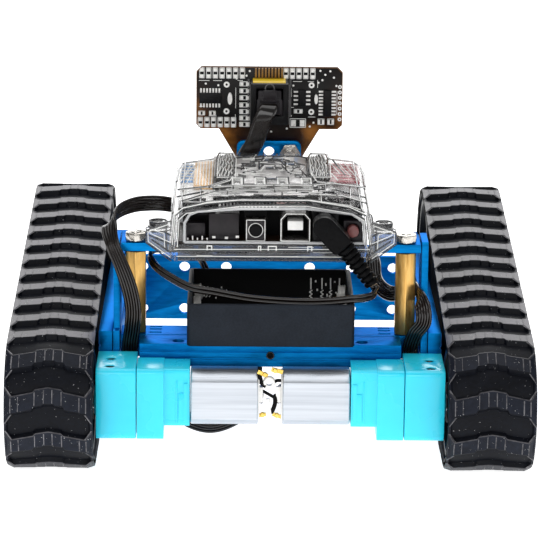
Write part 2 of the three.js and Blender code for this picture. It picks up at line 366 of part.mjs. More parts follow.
add("sensor_cable", ribbon(
  [[-0.3, 38.6, 104.6], [-0.3, 37.4, 104.6], [-0.9, 36.1, 103.4], [-2.2, 35.5, 100.8], [-3.6, 35.4, 97.0], [-4.9, 35.5, 92.8], [-7.2, 35.6, 88.2], [-10.2, 35.8, 83.6], [-14.0, 35.9, 79.8], [-19.4, 36.0, 78.0], [-24.2, 35.4, 78.4], [-26.4, 33.2, 79.6], [-26.5, 31.2, 80.0]],
  [[1, 0, 0], [1, 0, 0], [1, 0, 0], [1, 0, 0], [1, 0, 0.1], [1, 0, 0.1], [1, 0, 0.3], [0.8, 0, 0.6], [0.4, 0, 1], [0, 0, 1], [0, 0, 1], [0, 0, 1], [0, 0, 1]],
  6.8, 2.2, 40), M.cable);

export default robot;
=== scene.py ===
# Tracked robot: camera, cords, then every piece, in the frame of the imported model.
import json
import math

import bmesh
import bpy
import numpy as np
from mathutils import Matrix, Vector
from mathutils import noise as mnoise

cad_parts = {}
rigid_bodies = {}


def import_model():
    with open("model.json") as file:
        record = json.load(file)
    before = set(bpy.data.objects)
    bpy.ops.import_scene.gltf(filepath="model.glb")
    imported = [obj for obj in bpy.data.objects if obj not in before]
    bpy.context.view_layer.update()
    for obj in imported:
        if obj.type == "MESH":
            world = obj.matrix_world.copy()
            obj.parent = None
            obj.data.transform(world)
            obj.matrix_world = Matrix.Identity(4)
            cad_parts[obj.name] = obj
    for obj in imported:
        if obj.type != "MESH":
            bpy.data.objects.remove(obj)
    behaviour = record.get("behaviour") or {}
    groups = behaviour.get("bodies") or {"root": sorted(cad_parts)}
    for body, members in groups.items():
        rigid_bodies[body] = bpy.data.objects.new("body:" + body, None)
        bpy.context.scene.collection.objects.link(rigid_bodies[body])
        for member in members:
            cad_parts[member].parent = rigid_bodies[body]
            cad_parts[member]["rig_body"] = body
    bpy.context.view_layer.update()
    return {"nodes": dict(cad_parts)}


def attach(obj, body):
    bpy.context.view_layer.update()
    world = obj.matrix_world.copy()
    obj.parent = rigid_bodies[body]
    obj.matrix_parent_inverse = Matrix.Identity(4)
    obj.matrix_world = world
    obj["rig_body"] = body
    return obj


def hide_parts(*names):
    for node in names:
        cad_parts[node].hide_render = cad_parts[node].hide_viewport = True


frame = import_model()
MM = 0.001
scene = bpy.context.scene
COL = scene.collection
pi = math.pi

# ------------------------------------------------------------------ camera
EL, YAW, ROLL, DIST = math.radians(14.5), math.radians(0.6), math.radians(0.6), 1.0945
TARGET = Vector((0, 0, 0.051))
cam_data = bpy.data.cameras.new("camera")
cam_data.lens, cam_data.sensor_width, cam_data.sensor_height = 2950 / 538 * 36, 36, 36
cam_data.clip_start, cam_data.clip_end = 0.05, 20
cam = bpy.data.objects.new("camera", cam_data)
COL.objects.link(cam)
fwd = Vector((math.sin(YAW) * math.cos(EL), math.cos(YAW) * math.cos(EL), -math.sin(EL)))
cam.rotation_mode = "QUATERNION"
cam.location = TARGET - fwd * DIST
cam.rotation_quaternion = fwd.to_track_quat("-Z", "Y") @ Matrix.Rotation(ROLL, 4, "Z").to_quaternion()
scene.camera = cam
scene.view_settings.view_transform = "Standard"
scene.view_settings.look = "None"


# ------------------------------------------------------------------ materials
def new_mat(name):
    m = bpy.data.materials.new(name)
    m.use_nodes = True
    nt = m.node_tree
    b = nt.nodes["Principled BSDF"]
    return m, nt, b


def node(nt, kind, **kw):
    n = nt.nodes.new(kind)
    for k, v in kw.items():
        if k in n.inputs:
            n.inputs[k].default_value = v
        else:
            setattr(n, k, v)
    return n


def ramp(nt, fac, stops):
    r = nt.nodes.new("ShaderNodeValToRGB")
    while len(r.color_ramp.elements) < len(stops):
        r.color_ramp.elements.new(0.5)
    for e, (p, c) in zip(r.color_ramp.elements, stops):
        e.position = p
        e.color = (*c, 1) if len(c) == 3 else c
    nt.links.new(fac, r.inputs[0])
    return r


def coords(nt, scale=(1, 1, 1)):
    t = nt.nodes.new("ShaderNodeTexCoord")
    mp = nt.nodes.new("ShaderNodeMapping")
    mp.inputs["Scale"].default_value = scale
    nt.links.new(t.outputs["Object"], mp.inputs["Vector"])
    return mp.outputs[0]


def noise(nt, vec, scale, detail=4, rough=0.55, dist=0):
    n = node(nt, "ShaderNodeTexNoise", Scale=scale, Detail=detail, Roughness=rough, Distortion=dist)
    nt.links.new(vec, n.inputs["Vector"])
    return n.outputs["Fac"]


def bump(nt, b, h, strength, dist):
    n = node(nt, "ShaderNodeBump", Strength=strength, Distance=dist)
    nt.links.new(h, n.inputs["Height"])
    nt.links.new(n.outputs[0], b.inputs["Normal"])


def surface(name, lo, hi, rough, metal=0.0, scale=400, stretch=(1, 1, 1), bump_by=0.1, bump_d=0.0001,
            rough_var=0.08, detail=4, spec=None, coat=None, aniso=None, dots=None, edge_tint=None):
    """A material whose colour, roughness and relief vary with noise in object space."""
    m, nt, b = new_mat(name)
    v = coords(nt, stretch)
    f = noise(nt, v, scale, detail)
    big = noise(nt, v, scale / 14, 2)
    mix = node(nt, "ShaderNodeMath", operation="MULTIPLY_ADD")
    nt.links.new(f, mix.inputs[0]); mix.inputs[1].default_value = 0.6
    mb = node(nt, "ShaderNodeMath", operation="MULTIPLY")
    nt.links.new(big, mb.inputs[0]); mb.inputs[1].default_value = 0.4
    nt.links.new(mb.outputs[0], mix.inputs[2])
    cr = ramp(nt, mix.outputs[0], [(0.36, lo), (0.64, hi)])
    colour = cr.outputs[0]
    if dots:  # pale dust specks
        size, level, tint = dots
        s = noise(nt, coords(nt), size, 1, 0.5)
        dr = ramp(nt, s, [(level, (0, 0, 0)), (level + 0.02, (1, 1, 1))])
        mx = node(nt, "ShaderNodeMix", data_type="RGBA")
        nt.links.new(dr.outputs[0], mx.inputs["Factor"])
        nt.links.new(colour, mx.inputs[6])
        mx.inputs[7].default_value = (*tint, 1)
        colour = mx.outputs[2]
    nt.links.new(colour, b.inputs["Base Color"])
    rr = node(nt, "ShaderNodeMapRange")
    rr.inputs["To Min"].default_value = max(0.02, rough - rough_var)
    rr.inputs["To Max"].default_value = rough + rough_var
    nt.links.new(f, rr.inputs["Value"])
    nt.links.new(rr.outputs[0], b.inputs["Roughness"])
    b.inputs["Metallic"].default_value = metal
    if spec is not None:
        b.inputs["Specular IOR Level"].default_value = spec
    if coat:
        b.inputs["Coat Weight"].default_value = coat
        b.inputs["Coat Roughness"].default_value = 0.15
    if aniso:
        b.inputs["Anisotropic"].default_value = aniso
    if edge_tint:
        b.inputs["Specular Tint"].default_value = (*edge_tint, 1)
    if bump_by:
        bump(nt, b, f, bump_by, bump_d)
    return m


def clear(name, tint=(0.86, 0.88, 0.89), lo=0.10, hi=0.75, rough=0.06):
    m, nt, b = new_mat(name)
    lw = node(nt, "ShaderNodeLayerWeight", Blend=0.35)
    v = coords(nt)
    f = noise(nt, v, 260, 3)
    r = ramp(nt, lw.outputs["Facing"], [(0.0, (lo,) * 3), (0.55, (lo * 1.6,) * 3), (1.0, (hi,) * 3)])
    nt.links.new(r.outputs[0], b.inputs["Alpha"])
    cr = ramp(nt, f, [(0.3, tuple(c * 0.93 for c in tint)), (0.7, tint)])
    nt.links.new(cr.outputs[0], b.inputs["Base Color"])
    b.inputs["Roughness"].default_value = rough
    b.inputs["Specular IOR Level"].default_value = 0.8
    b.inputs["Coat Weight"].default_value = 0.6
    b.inputs["Coat Roughness"].default_value = 0.03
    bump(nt, b, f, 0.06, 0.0002)
    return m


MAT = {
    "rubber": surface("rubber_groove", (0.0012, 0.0016, 0.0034), (0.004, 0.0052, 0.0094), 0.5, scale=700, bump_by=0.3, spec=0.14, dots=(1900, 0.76, (0.4, 0.4, 0.41))),
    # painted light: a lighter copy of the lug rubber for lug tops on the upper run, where light falls from above
    "rubber_top": surface("rubber_painted_lit_top", (0.011, 0.0098, 0.0148), (0.066, 0.058, 0.076), 0.42, scale=620, bump_by=0.45, spec=0.45, dots=(2100, 0.76, (0.5, 0.5, 0.5))),
    "rubber_arc": surface("rubber_lug", (0.0024, 0.0036, 0.0088), (0.009, 0.012, 0.022), 0.42, scale=420, bump_by=0.45, spec=0.16, dots=(2000, 0.75, (0.55, 0.55, 0.55))),
    "rubber_edge": surface("rubber_worn_edge", (0.006, 0.006, 0.009), (0.082, 0.08, 0.09), 0.5, scale=420, bump_by=0.2, spec=0.3),
    # pale dust on the moulding lines, and painted highlights on the flared lug ends
    "rubber_line": surface("rubber_dust_and_glint_line", (0.026, 0.026, 0.030), (0.22, 0.215, 0.23), 0.6, scale=520, bump_by=0.1, spec=0.3),
    "blue": surface("blue_anodised", (0.0014, 0.135, 0.38), (0.003, 0.215, 0.58), 0.40, 0.85, scale=160, stretch=(1, 1, 6), bump_by=0.05, spec=0.2, edge_tint=(0.02, 0.42, 0.80)),
    "teal": surface("turquoise_plastic", (0.012, 0.66, 0.93), (0.03, 0.78, 0.98), 0.28, 0, scale=30, bump_by=0.02, spec=0.5, coat=0.25),
    "can": surface("bright_can", (0.40, 0.43, 0.47), (0.58, 0.61, 0.66), 0.30, 0.9, scale=1600, stretch=(0.06, 1, 1), bump_by=0.12, rough_var=0.08),
    "can_flat": surface("can_flat", (0.50, 0.53, 0.58), (0.72, 0.75, 0.80), 0.36, 0.6, scale=700, stretch=(0.02, 1, 1), bump_by=0.10, bump_d=0.0003),
    "steel": surface("steel", (0.50, 0.50, 0.50), (0.66, 0.66, 0.65), 0.25, 1, scale=900, bump_by=0.1),
    "nickel": surface("nickel", (0.36, 0.34, 0.31), (0.66, 0.63, 0.58), 0.2, 1, scale=420, bump_by=0.4, bump_d=0.0004),
    "brass": surface("brass", (0.60, 0.30, 0.06), (0.95, 0.60, 0.20), 0.32, 0.9, scale=700, stretch=(1, 1, 0.2), bump_by=0.3, bump_d=0.0002),
    "black": surface("black_plastic", (0.0018, 0.0018, 0.0022), (0.006, 0.006, 0.0072), 0.42, scale=1600, bump_by=0.3, spec=0.18),
    "tray": surface("tray_plastic", (0.007, 0.010, 0.016), (0.013, 0.0175, 0.026), 0.5, scale=1500, bump_by=0.3, spec=0.15),
    "matt_black": surface("matt_black", (0.0012, 0.0012, 0.0015), (0.003, 0.003, 0.0035), 0.7, scale=900, spec=0.15),
    "cable": surface("cable_jacket", (0.0018, 0.0012, 0.0011), (0.0085, 0.0042, 0.0026), 0.13, scale=300, bump_by=0.03, spec=0.42, coat=0.30),
    "plug": surface("plug_rubber", (0.0015, 0.0015, 0.0018), (0.0045, 0.0045, 0.005), 0.3, scale=900, bump_by=0.06, spec=0.06),
    "pcb": surface("solder_mask", (0.004, 0.0025, 0.0015), (0.022, 0.009, 0.003), 0.3, scale=70, bump_by=0.02, spec=0.3),
    "pcb_edge": surface("board_edge", (0.10, 0.035, 0.006), (0.22, 0.085, 0.015), 0.4, scale=90, bump_by=0.02),
    "white": surface("white_plastic", (0.80, 0.79, 0.77), (0.92, 0.91, 0.89), 0.35, scale=600),
    # white ink for print, also used for painted highlights: glints on the clear case, the socket rims and the battery
    # contacts
    "silk": surface("white_ink_and_glint", (0.82, 0.82, 0.79), (0.95, 0.95, 0.93), 0.45, scale=900),
    "tin": surface("tinned", (0.84, 0.83, 0.80), (0.98, 0.97, 0.94), 0.3, 0.2, scale=900),
    "grey": surface("grey_plastic", (0.05, 0.05, 0.052), (0.11, 0.105, 0.105), 0.35, scale=600),
    "dark_grey": surface("dark_component", (0.006, 0.005, 0.007), (0.017, 0.0135, 0.016), 0.3, scale=300, spec=0.25),
    "tan": surface("tan_plastic", (0.66, 0.34, 0.09), (0.88, 0.54, 0.20), 0.42, scale=300),
    "yellow": surface("yellow_tape", (0.75, 0.48, 0.01), (0.88, 0.62, 0.03), 0.4, scale=500),
    "amber": surface("amber_strip", (0.16, 0.075, 0.008), (0.30, 0.15, 0.02), 0.35, scale=400),
    "red": surface("red_label", (0.34, 0.008, 0.024), (0.52, 0.025, 0.055), 0.4, scale=300),
    "pink": surface("pink_label", (0.72, 0.46, 0.44), (0.84, 0.62, 0.58), 0.45, scale=500),
    "skyblue": surface("blue_label", (0.001, 0.21, 0.66), (0.004, 0.33, 0.84), 0.4, scale=300),
    "button_red": surface("button_red", (0.13, 0.035, 0.035), (0.20, 0.065, 0.06), 0.35, scale=500),
    "gold": surface("gold_contact", (0.70, 0.42, 0.06), (0.90, 0.66, 0.18), 0.26, 0.9, scale=600),
    "frost": clear("frosted_plastic", (0.90, 0.87, 0.86), 0.80, 0.96, 0.35),
    # painted shade: a dark clear sheet, laid only where shade falls in the case
    "smoke": clear("painted_shade_plastic", (0.085, 0.087, 0.092), 0.62, 0.90, 0.25),
    "ear": clear("ear_plastic", (0.40, 0.40, 0.40), 0.34, 0.92, 0.06),
    # painted shade: a darkened copy of steel for the USB shell and the reset switch frame
    "dark_steel": surface("dark_steel", (0.028, 0.027, 0.026), (0.075, 0.07, 0.066), 0.28, 0.9, scale=900, bump_by=0.1),
    "clear": clear("clear_plastic", (0.30, 0.305, 0.31), 0.02, 0.26, 0.045),
    # painted shade: the bevelled edges of clear parts take this dark tint, for how clear plastic darkens at its edges
    "clear_edge": clear("clear_edge", (0.05, 0.052, 0.056), 0.45, 0.95, 0.10),
    "clear_rib": clear("clear_rib", (0.84, 0.85, 0.86), 0.42, 0.95, 0.08),
    "clear_dark": clear("clear_shadowed", (0.022, 0.023, 0.026), 0.66, 0.97, 0.12),
}


def board(name):
    """Black solder mask that turns amber brown toward the lower edges, where light comes through."""
    m, nt, b = new_mat(name)
    t = nt.nodes.new("ShaderNodeTexCoord")
    xyz = nt.nodes.new("ShaderNodeSeparateXYZ")
    nt.links.new(t.outputs["Object"], xyz.inputs[0])
    ax = node(nt, "ShaderNodeMath", operation="ABSOLUTE")
    nt.links.new(xyz.outputs["X"], ax.inputs[0])

    def span(src, a, c, lo, hi):
        r = node(nt, "ShaderNodeMapRange", interpolation_type="SMOOTHSTEP")
        r.inputs["From Min"].default_value, r.inputs["From Max"].default_value = a, c
        r.inputs["To Min"].default_value, r.inputs["To Max"].default_value = lo, hi
        nt.links.new(src, r.inputs["Value"])
        return r.outputs[0]

    def combine(op, a, c):
        q = node(nt, "ShaderNodeMath", operation=op)
        nt.links.new(a, q.inputs[0]); nt.links.new(c, q.inputs[1])
        return q.outputs[0]
    edge = combine("MULTIPLY", span(ax.outputs[0], 0.0195, 0.0278, 0, 1), span(xyz.outputs["Z"], 0.113, 0.096, 0.06, 1))
    neck = combine("MULTIPLY", span(ax.outputs[0], 0.0055, 0.0165, 0.12, 0.75), span(xyz.outputs["Z"], 0.0985, 0.0925, 0, 1))
    f = noise(nt, coords(nt), 130, 3)
    both = combine("MAXIMUM", edge, neck)
    k = combine("MULTIPLY", both, span(f, 0.2, 0.7, 0.45, 1.1))
    cr = ramp(nt, k, [(0.0, (0.0022, 0.0018, 0.0018)), (0.35, (0.030, 0.010, 0.002)), (0.9, (0.34, 0.125, 0.016))])
    nt.links.new(cr.outputs[0], b.inputs["Base Color"])
    rr = span(f, 0.2, 0.8, 0.28, 0.42)
    nt.links.new(rr, b.inputs["Roughness"])
    b.inputs["Specular IOR Level"].default_value = 0.22
    bump(nt, b, f, 0.03, 0.0001)
    return m


MAT["sensor_pcb"] = board("sensor_solder_mask")


# ------------------------------------------------------------------ mesh helpers (millimetres in, metres out)
def place(p, axis):
    u, v, w = p  # u, v across, w along the axis
    return (w, u, v) if axis == "x" else (u, w, v) if axis == "y" else (u, v, w)


def add_faces(bm, verts, faces, mat=0):
    vs = [bm.verts.new(Vector(v) * MM) for v in verts]
    out = []
    for f in faces:
        try:
            nf = bm.faces.new([vs[i] for i in f])
            nf.material_index = mat
            out.append(nf)
        except ValueError:
            pass
    return out


def add_box(bm, x0, x1, y0, y1, z0, z1, mat=0):
    v = [(x, y, z) for x in (x0, x1) for y in (y0, y1) for z in (z0, z1)]
    add_faces(bm, v, [(0, 1, 3, 2), (4, 6, 7, 5), (0, 4, 5, 1), (2, 3, 7, 6), (0, 2, 6, 4), (1, 5, 7, 3)], mat)


def add_prism(bm, pts, axis, a, b, mat=0):
    n = len(pts)
    v = [place((p[0], p[1], a), axis) for p in pts] + [place((p[0], p[1], b), axis) for p in pts]
    add_faces(bm, v, [tuple(range(n))[::-1], tuple(range(n, 2 * n))] + [(i, (i + 1) % n, n + (i + 1) % n, n + i) for i in range(n)], mat)


def add_lathe(bm, prof, axis, at, seg=48, mat=0, mats=None):
    """prof: (radius, along) from the axis or closed; at: centre across the axis."""
    rings, verts = [], []
    for r, h in prof:
        if r < 1e-6:
            rings.append([len(verts)]); verts.append(place((at[0], at[1], h), axis))
        else:
            rings.append(list(range(len(verts), len(verts) + seg)))
            verts += [place((at[0] + r * math.cos(2 * pi * i / seg), at[1] + r * math.sin(2 * pi * i / seg), h), axis) for i in range(seg)]
    vs = [bm.verts.new(Vector(v) * MM) for v in verts]
    closed = prof[0][0] > 1e-6
    m = len(prof)
    for k in range(m if closed else m - 1):
        a, b = rings[k], rings[(k + 1) % m]
        for i in range(seg):
            j = (i + 1) % seg
            f = ([a[0], b[i], b[j]] if len(a) == 1 else [a[i], b[0], a[j]] if len(b) == 1 else [a[i], b[i], b[j], a[j]])
            if len(set(f)) > 2:
                nf = bm.faces.new([vs[q] for q in f])
                nf.material_index = mats[k] if mats else mat


def ring_pts(cx, cy, r, n, a0=0.0):
    return [(cx + r * math.cos(a0 + 2 * pi * i / n), cy + r * math.sin(a0 + 2 * pi * i / n)) for i in range(n)]


def rrect(x0, x1, y0, y1, r, n=6):
    p = []
    for cx, cy, a in ((x1 - r, y1 - r, 0), (x0 + r, y1 - r, 90), (x0 + r, y0 + r, 180), (x1 - r, y0 + r, 270)):
        for i in range(n + 1):
            t = math.radians(a + 90 * i / n)
            p.append((cx + r * math.cos(t), cy + r * math.sin(t)))
    return p


def to_obj(bm, name):
    bmesh.ops.recalc_face_normals(bm, faces=bm.faces)
    me = bpy.data.meshes.new(name)
    bm.to_mesh(me)
    bm.free()
    o = bpy.data.objects.new(name, me)
    COL.objects.link(o)
    return o


def bake_mods(o):
    dg = bpy.context.evaluated_depsgraph_get()
    me = bpy.data.meshes.new_from_object(o.evaluated_get(dg))
    o.modifiers.clear()
    old = o.data
    o.data = me
    bpy.data.meshes.remove(old)
    return o


def cut(o, cutter):
    m = o.modifiers.new("cut", "BOOLEAN")
    m.operation, m.solver, m.object = "DIFFERENCE", "EXACT", cutter
    bake_mods(o)
    bpy.data.objects.remove(cutter)
    return o


def drill(o, holes, name="drill"):
    """holes: (axis, u, v, r, a, b)"""
    bm = bmesh.new()
    for axis, u, v, r, a, b in holes:
        add_prism(bm, ring_pts(u, v, r, 40), axis, a, b)
    return cut(o, to_obj(bm, name))


def finish_piece(o, mats, body="chassis", slot=None, replaces=(), bevel=0.0, seg=2, angle=35, edge_mat=None, limit=40):
    mats = [mats] if isinstance(mats, str) else list(mats)
    slots = [min(p.material_index, len(mats) - 1) for p in o.data.polygons]  # clearing the materials would lose them
    o.data.materials.clear()
    for m in mats + ([edge_mat] if edge_mat else []):
        o.data.materials.append(MAT[m])
    for p, k in zip(o.data.polygons, slots):
        p.material_index = k
    if bevel:
        md = o.modifiers.new("bevel", "BEVEL")
        md.width, md.segments, md.limit_method, md.angle_limit = bevel * MM, seg, "ANGLE", math.radians(limit)
        md.use_clamp_overlap = True
        md.miter_outer = "MITER_ARC"
        if edge_mat:
            md.material = len(mats)
        bake_mods(o)
    for p in o.data.polygons:
        p.use_smooth = True
    o.data.set_sharp_from_angle(angle=math.radians(angle))
    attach(o, body)
    if replaces:
        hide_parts(*([replaces] if isinstance(replaces, str) else replaces))
    return o


def from_node(n, name, mats, bevel=0.3, **kw):
    """A copy of a CAD node's mesh with merged facets and softened edges, standing for the node."""
    src = frame["nodes"][n]
    bm = bmesh.new()
    bm.from_mesh(src.data)
    bmesh.ops.remove_doubles(bm, verts=bm.verts, dist=2e-6)
    bmesh.ops.dissolve_limit(bm, angle_limit=math.radians(0.6), verts=bm.verts, edges=bm.edges)
    for f in bm.faces:
        f.material_index = 0
    o = to_obj(bm, name)
    return finish_piece(o, mats, bevel=bevel, replaces=n, body=src["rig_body"], **kw)


def smooth_path(pts, step):
    """Centripetal Catmull-Rom through pts (mm), resampled evenly."""
    P = [np.array(p, float) for p in pts]
    P = [2 * P[0] - P[1]] + P + [2 * P[-1] - P[-2]]
    out = []
    for i in range(1, len(P) - 2):
        p0, p1, p2, p3 = P[i - 1:i + 3]
        d = [max(np.linalg.norm(b - a), 1e-6) ** 0.5 for a, b in ((p0, p1), (p1, p2), (p2, p3))]
        m1 = (p2 - p1) + d[1] * ((p1 - p0) / d[0] - (p2 - p0) / (d[0] + d[1]))
        m2 = (p2 - p1) + d[1] * ((p3 - p2) / d[2] - (p3 - p1) / (d[1] + d[2]))
        for k in range(24):
            t = k / 24
            out.append((2 * t**3 - 3 * t**2 + 1) * p1 + (t**3 - 2 * t**2 + t) * m1 + (-2 * t**3 + 3 * t**2) * p2 + (t**3 - t**2) * m2)
    out.append(P[-2])
    out = np.array(out)
    s = np.concatenate([[0], np.cumsum(np.linalg.norm(np.diff(out, axis=0), axis=1))])
    n = max(8, int(s[-1] / step))
    at = np.linspace(0, s[-1], n + 1)
    par = np.linspace(0, len(pts) - 1, len(out))
    return np.stack([np.interp(at, s, out[:, k]) for k in range(3)], 1), np.interp(at, s, par), s[-1]


def frames_of(line, side_at=None, par=None):
    T = np.gradient(line, axis=0)
    T /= np.linalg.norm(T, axis=1)[:, None]
    N = []
    ref = np.array([0.3, 0.2, 1.0])
    for i, t in enumerate(T):
        if side_at is not None:
            k = min(len(side_at) - 1 - 1e-6, par[i]); a = int(k)
            ref = np.array(side_at[a], float) * (1 - (k - a)) + np.array(side_at[a + 1], float) * (k - a)
        n = ref - t * np.dot(ref, t)
        n /= np.linalg.norm(n)
        N.append(n)
        if side_at is None:
            ref = n
    N = np.array(N)
    return T, N, np.cross(T, N)


def add_tube(bm, line, N, B, r, sides=12, mat=0, rx=None, ends=True):
    """A closed tube of radius r (mm), or an oval rx by r; r may be one number for each point."""
    rings = []
    R = r if hasattr(r, "__len__") else [r] * len(line)
    RX = rx if hasattr(rx, "__len__") else [rx] * len(line)
    for p, n, b, rr, rxx in zip(line, N, B, R, RX):
        ring = []
        for i in range(sides):
            a = 2 * pi * i / sides
            ring.append(bm.verts.new(Vector((p + n * (rxx or rr) * math.cos(a) + b * rr * math.sin(a)) * MM)))
        rings.append(ring)
    for a, b in zip(rings, rings[1:]):
        for i in range(sides):
            j = (i + 1) % sides
            f = bm.faces.new([a[i], a[j], b[j], b[i]]); f.material_index = mat
    if ends:
        bm.faces.new(rings[0][::-1]).material_index = mat
        bm.faces.new(rings[-1]).material_index = mat


# ------------------------------------------------------------------ cords
LEAD = [[35.72, -67, 62.77], [36.4, -67.3, 61.2], [35.6, -69.5, 60.0], [32.4, -73.4, 59.9], [28.9, -74.2, 59.7], [21.4, -73.4, 58.6], [10.6, -72.6, 58.0], [-6.7, -71.4, 58.8], [-18.9, -68.8, 60.2], [-27.9, -66, 61.2], [-34, -63, 63.4], [-39.8, -59, 66.4], [-42.4, -54, 69.0], [-41.6, -48, 70.0], [-37.8, -41.6, 69.0], [-32, -34, 67.0], [-27.6, -27, 64.0], [-24.6, -22, 59.4], [-23, -21, 55.0], [-22.5, -23.4, 52.4], [-22.5, -26.6, 52.0]]
LEFT = [[-35.6, -30, 82.3], [-37.6, -30.9, 82.8], [-42.0, -36.6, 84.4], [-48.6, -45, 85.6], [-54, -53, 84.6], [-56.4, -60, 80.8], [-55.2, -64, 76.0], [-52.4, -65.4, 69.6], [-49.4, -65.6, 61], [-48.0, -65.4, 53], [-48.4, -65, 45.6], [-49.2, -63.8, 38.5], [-48.4, -62.6, 32], [-42, -60.4, 26], [-35.4, -59.0, 19.6], [-30.6, -58.4, 12.0], [-21.0, -57.8, 8.3], [-11.6, -58.6, 12.0], [-8.0, -61.8, 18.4], [-5.4, -65.4, 22.4], [-3.1, -69.4, 24.0], [-2.95, -74.1, 24.4]]
LEFT_SIDE = [[0, 0.5, 1], [0, 0.5, 1], [0, 0.3, 1], [0.1, 0.2, 1], [0.2, 0.1, 1], [0.6, 0.6, 0.5], [0.8, 0.7, 0.2], [1, 0.5, 0], [1, 0.2, 0], [1, 0, 0], [1, 0, 0], [1, 0, 0], [1, 0, 0.2], [0.68, 0, 0.74], [0.73, 0, 0.68], [0.66, 0, 0.75], [0, 0, 1], [-0.66, 0, 0.75], [-0.7, 0, 0.7], [-0.3, 0, 1], [0, 0, 1], [0, 0, 1]]
RIGHT = [[35.6, -6, 73.6], [36.8, -6.2, 73.2], [37.6, -7.4, 71.2], [37.8, -11, 67.2], [37.6, -20, 60], [38.6, -30, 54.4], [43.0, -42, 53.2], [48.6, -50.4, 56.4], [51.1, -53.6, 58.0], [51.7, -57.6, 58.4], [51.9, -61.6, 58.0], [52.5, -64.4, 57.0], [53.2, -66.6, 54.6], [53.4, -67.2, 49.4], [50.8, -66.6, 45.4], [49.3, -65.0, 40.4], [49.0, -63.6, 35.6], [47.8, -62.6, 31.4], [42, -61, 28.6], [30, -61.4, 26.6], [16, -63.8, 25.4], [6.4, -66.4, 24.6], [3.2, -69.6, 24.4], [2.95, -74.1, 24.4]]
RIGHT_SIDE = [[0, 1, 0], [0, 1, 0], [0, 1, 0], [0, 1, 0.3], [0.3, 1, 0.6], [0.6, 0.6, 1], [0.4, 0, 1], [0.2, 0, 1], [0, 0, 1], [0, 0, 1], [0, 0, 1], [0.5, 0, 1], [1, 0, 0.4], [1, 0, 0], [1, 0, 0], [1, 0, 0], [1, 0, 0], [1, 0, 0.2], [0.6, -0.3, 0.8], [0, -0.2, 1], [0, 0, 1], [0, 0, 1], [0, 0, 1], [0, 0, 1]]
SY = 51.0
SENSOR = [[-0.3, 38.6, 104.6], [-0.3, 37.4, 104.6], [-0.9, 36.1, 103.4], [-2.2, 35.5, 100.8], [-3.6, 35.4, 97.0], [-4.9, 35.5, 92.8], [-7.2, 35.6, 88.2], [-10.2, 35.8, 83.6], [-14.0, 35.9, 79.8], [-19.4, 36.0, 78.0], [-24.2, 35.4, 78.4], [-26.4, 33.2, 79.6], [-26.5, 31.2, 80.0]]
SENSOR_SIDE = [[1, 0, 0], [1, 0, 0], [1, 0, 0], [1, 0, 0], [1, 0, 0.1], [1, 0, 0.1], [1, 0, 0.3], [0.8, 0, 0.6], [0.4, 0, 1], [0, 0, 1], [0, 0, 1], [0, 0, 1], [0, 0, 1]]


def cord_piece(name, node_name, pts, width, sides_at=None, cores=1, core_r=None, thick=None, step=0.7, **kw):
    line, par, length = smooth_path(pts, step)
    T, N, B = frames_of(line, sides_at, par)
    bm = bmesh.new()
    if cores == 1 and thick:
        # flat jacket: a rounded bar
        rings = []
        w, h = width / 2, thick / 2
        sec = rrect(-w, w, -h, h, h * 0.95, 4)
        for p, n, b in zip(line, N, B):
            rings.append([bm.verts.new(Vector((p + n * u + b * v) * MM)) for u, v in sec])
        for a, b2 in zip(rings, rings[1:]):
            for i in range(len(sec)):
                j = (i + 1) % len(sec)
                bm.faces.new([a[i], a[j], b2[j], b2[i]])
        bm.faces.new(rings[0][::-1]); bm.faces.new(rings[-1])
    else:
        for c in range(cores):
            off = (c - (cores - 1) / 2) * (width - 2 * core_r) / max(1, cores - 1)
            wob = 0.0 if cores < 3 else 0.10
            ln = line + N * off + B * (wob * np.sin(par * 2.1 + c * 1.7))[:, None]
            add_tube(bm, ln, N, B, core_r, 10)
    o = to_obj(bm, name)
    finish_piece(o, "cable", replaces=node_name, angle=50)
    return o, length


lengths = {}
_, lengths["battery_lead"] = cord_piece("battery_lead_cord", "battery_lead", LEAD, 2.9, [[0.15, 0.3, 1]] * len(LEAD), cores=2, core_r=0.76, far_end="object", stiffness="limp", lay="hanging", with_pieces=["dc_plug", "plug_strain_relief"])
_, lengths["left_motor_ribbon"] = cord_piece("left_motor_flat_cable", "left_motor_ribbon", LEFT, 5.6, LEFT_SIDE, cores=6, core_r=0.5, far_end="object", stiffness="limp", lay="hanging")
_, lengths["right_motor_ribbon"] = cord_piece("right_motor_flat_cable", "right_motor_ribbon", RIGHT, 5.6, RIGHT_SIDE, cores=6, core_r=0.5, far_end="object", stiffness="limp", lay="hanging")
_, lengths["sensor_cable"] = cord_piece("sensor_flat_cable", "sensor_cable", SENSOR, 6.8, SENSOR_SIDE, thick=2.2, far_end="object", stiffness="limp", lay="hanging", with_pieces=["sensor_plug"])

# ------------------------------------------------------------------ tracks
REAR_Y, REAR_R, FRONT_Y, FRONT_R = -78.2, 23.8, 68.7, 33.3
LUGS, LUG_H, BELT_T = 32, 1.9, 1.6
dy_, dz_ = FRONT_Y - REAR_Y, FRONT_R - REAR_R
span = math.hypot(dy_, dz_)
tilt, opened = math.atan2(dz_, dy_), math.asin(dz_ / span)
top_a = pi / 2 + tilt + opened
run = span * math.cos(opened)
in_r, in_f = REAR_R - LUG_H - BELT_T, FRONT_R - LUG_H - BELT_T
arc_r, arc_f = (1.5 * pi - top_a) * (in_r + BELT_T), (top_a + pi / 2) * (in_f + BELT_T)
loop = 2 * run + arc_r + arc_f
PHASE = 3.6


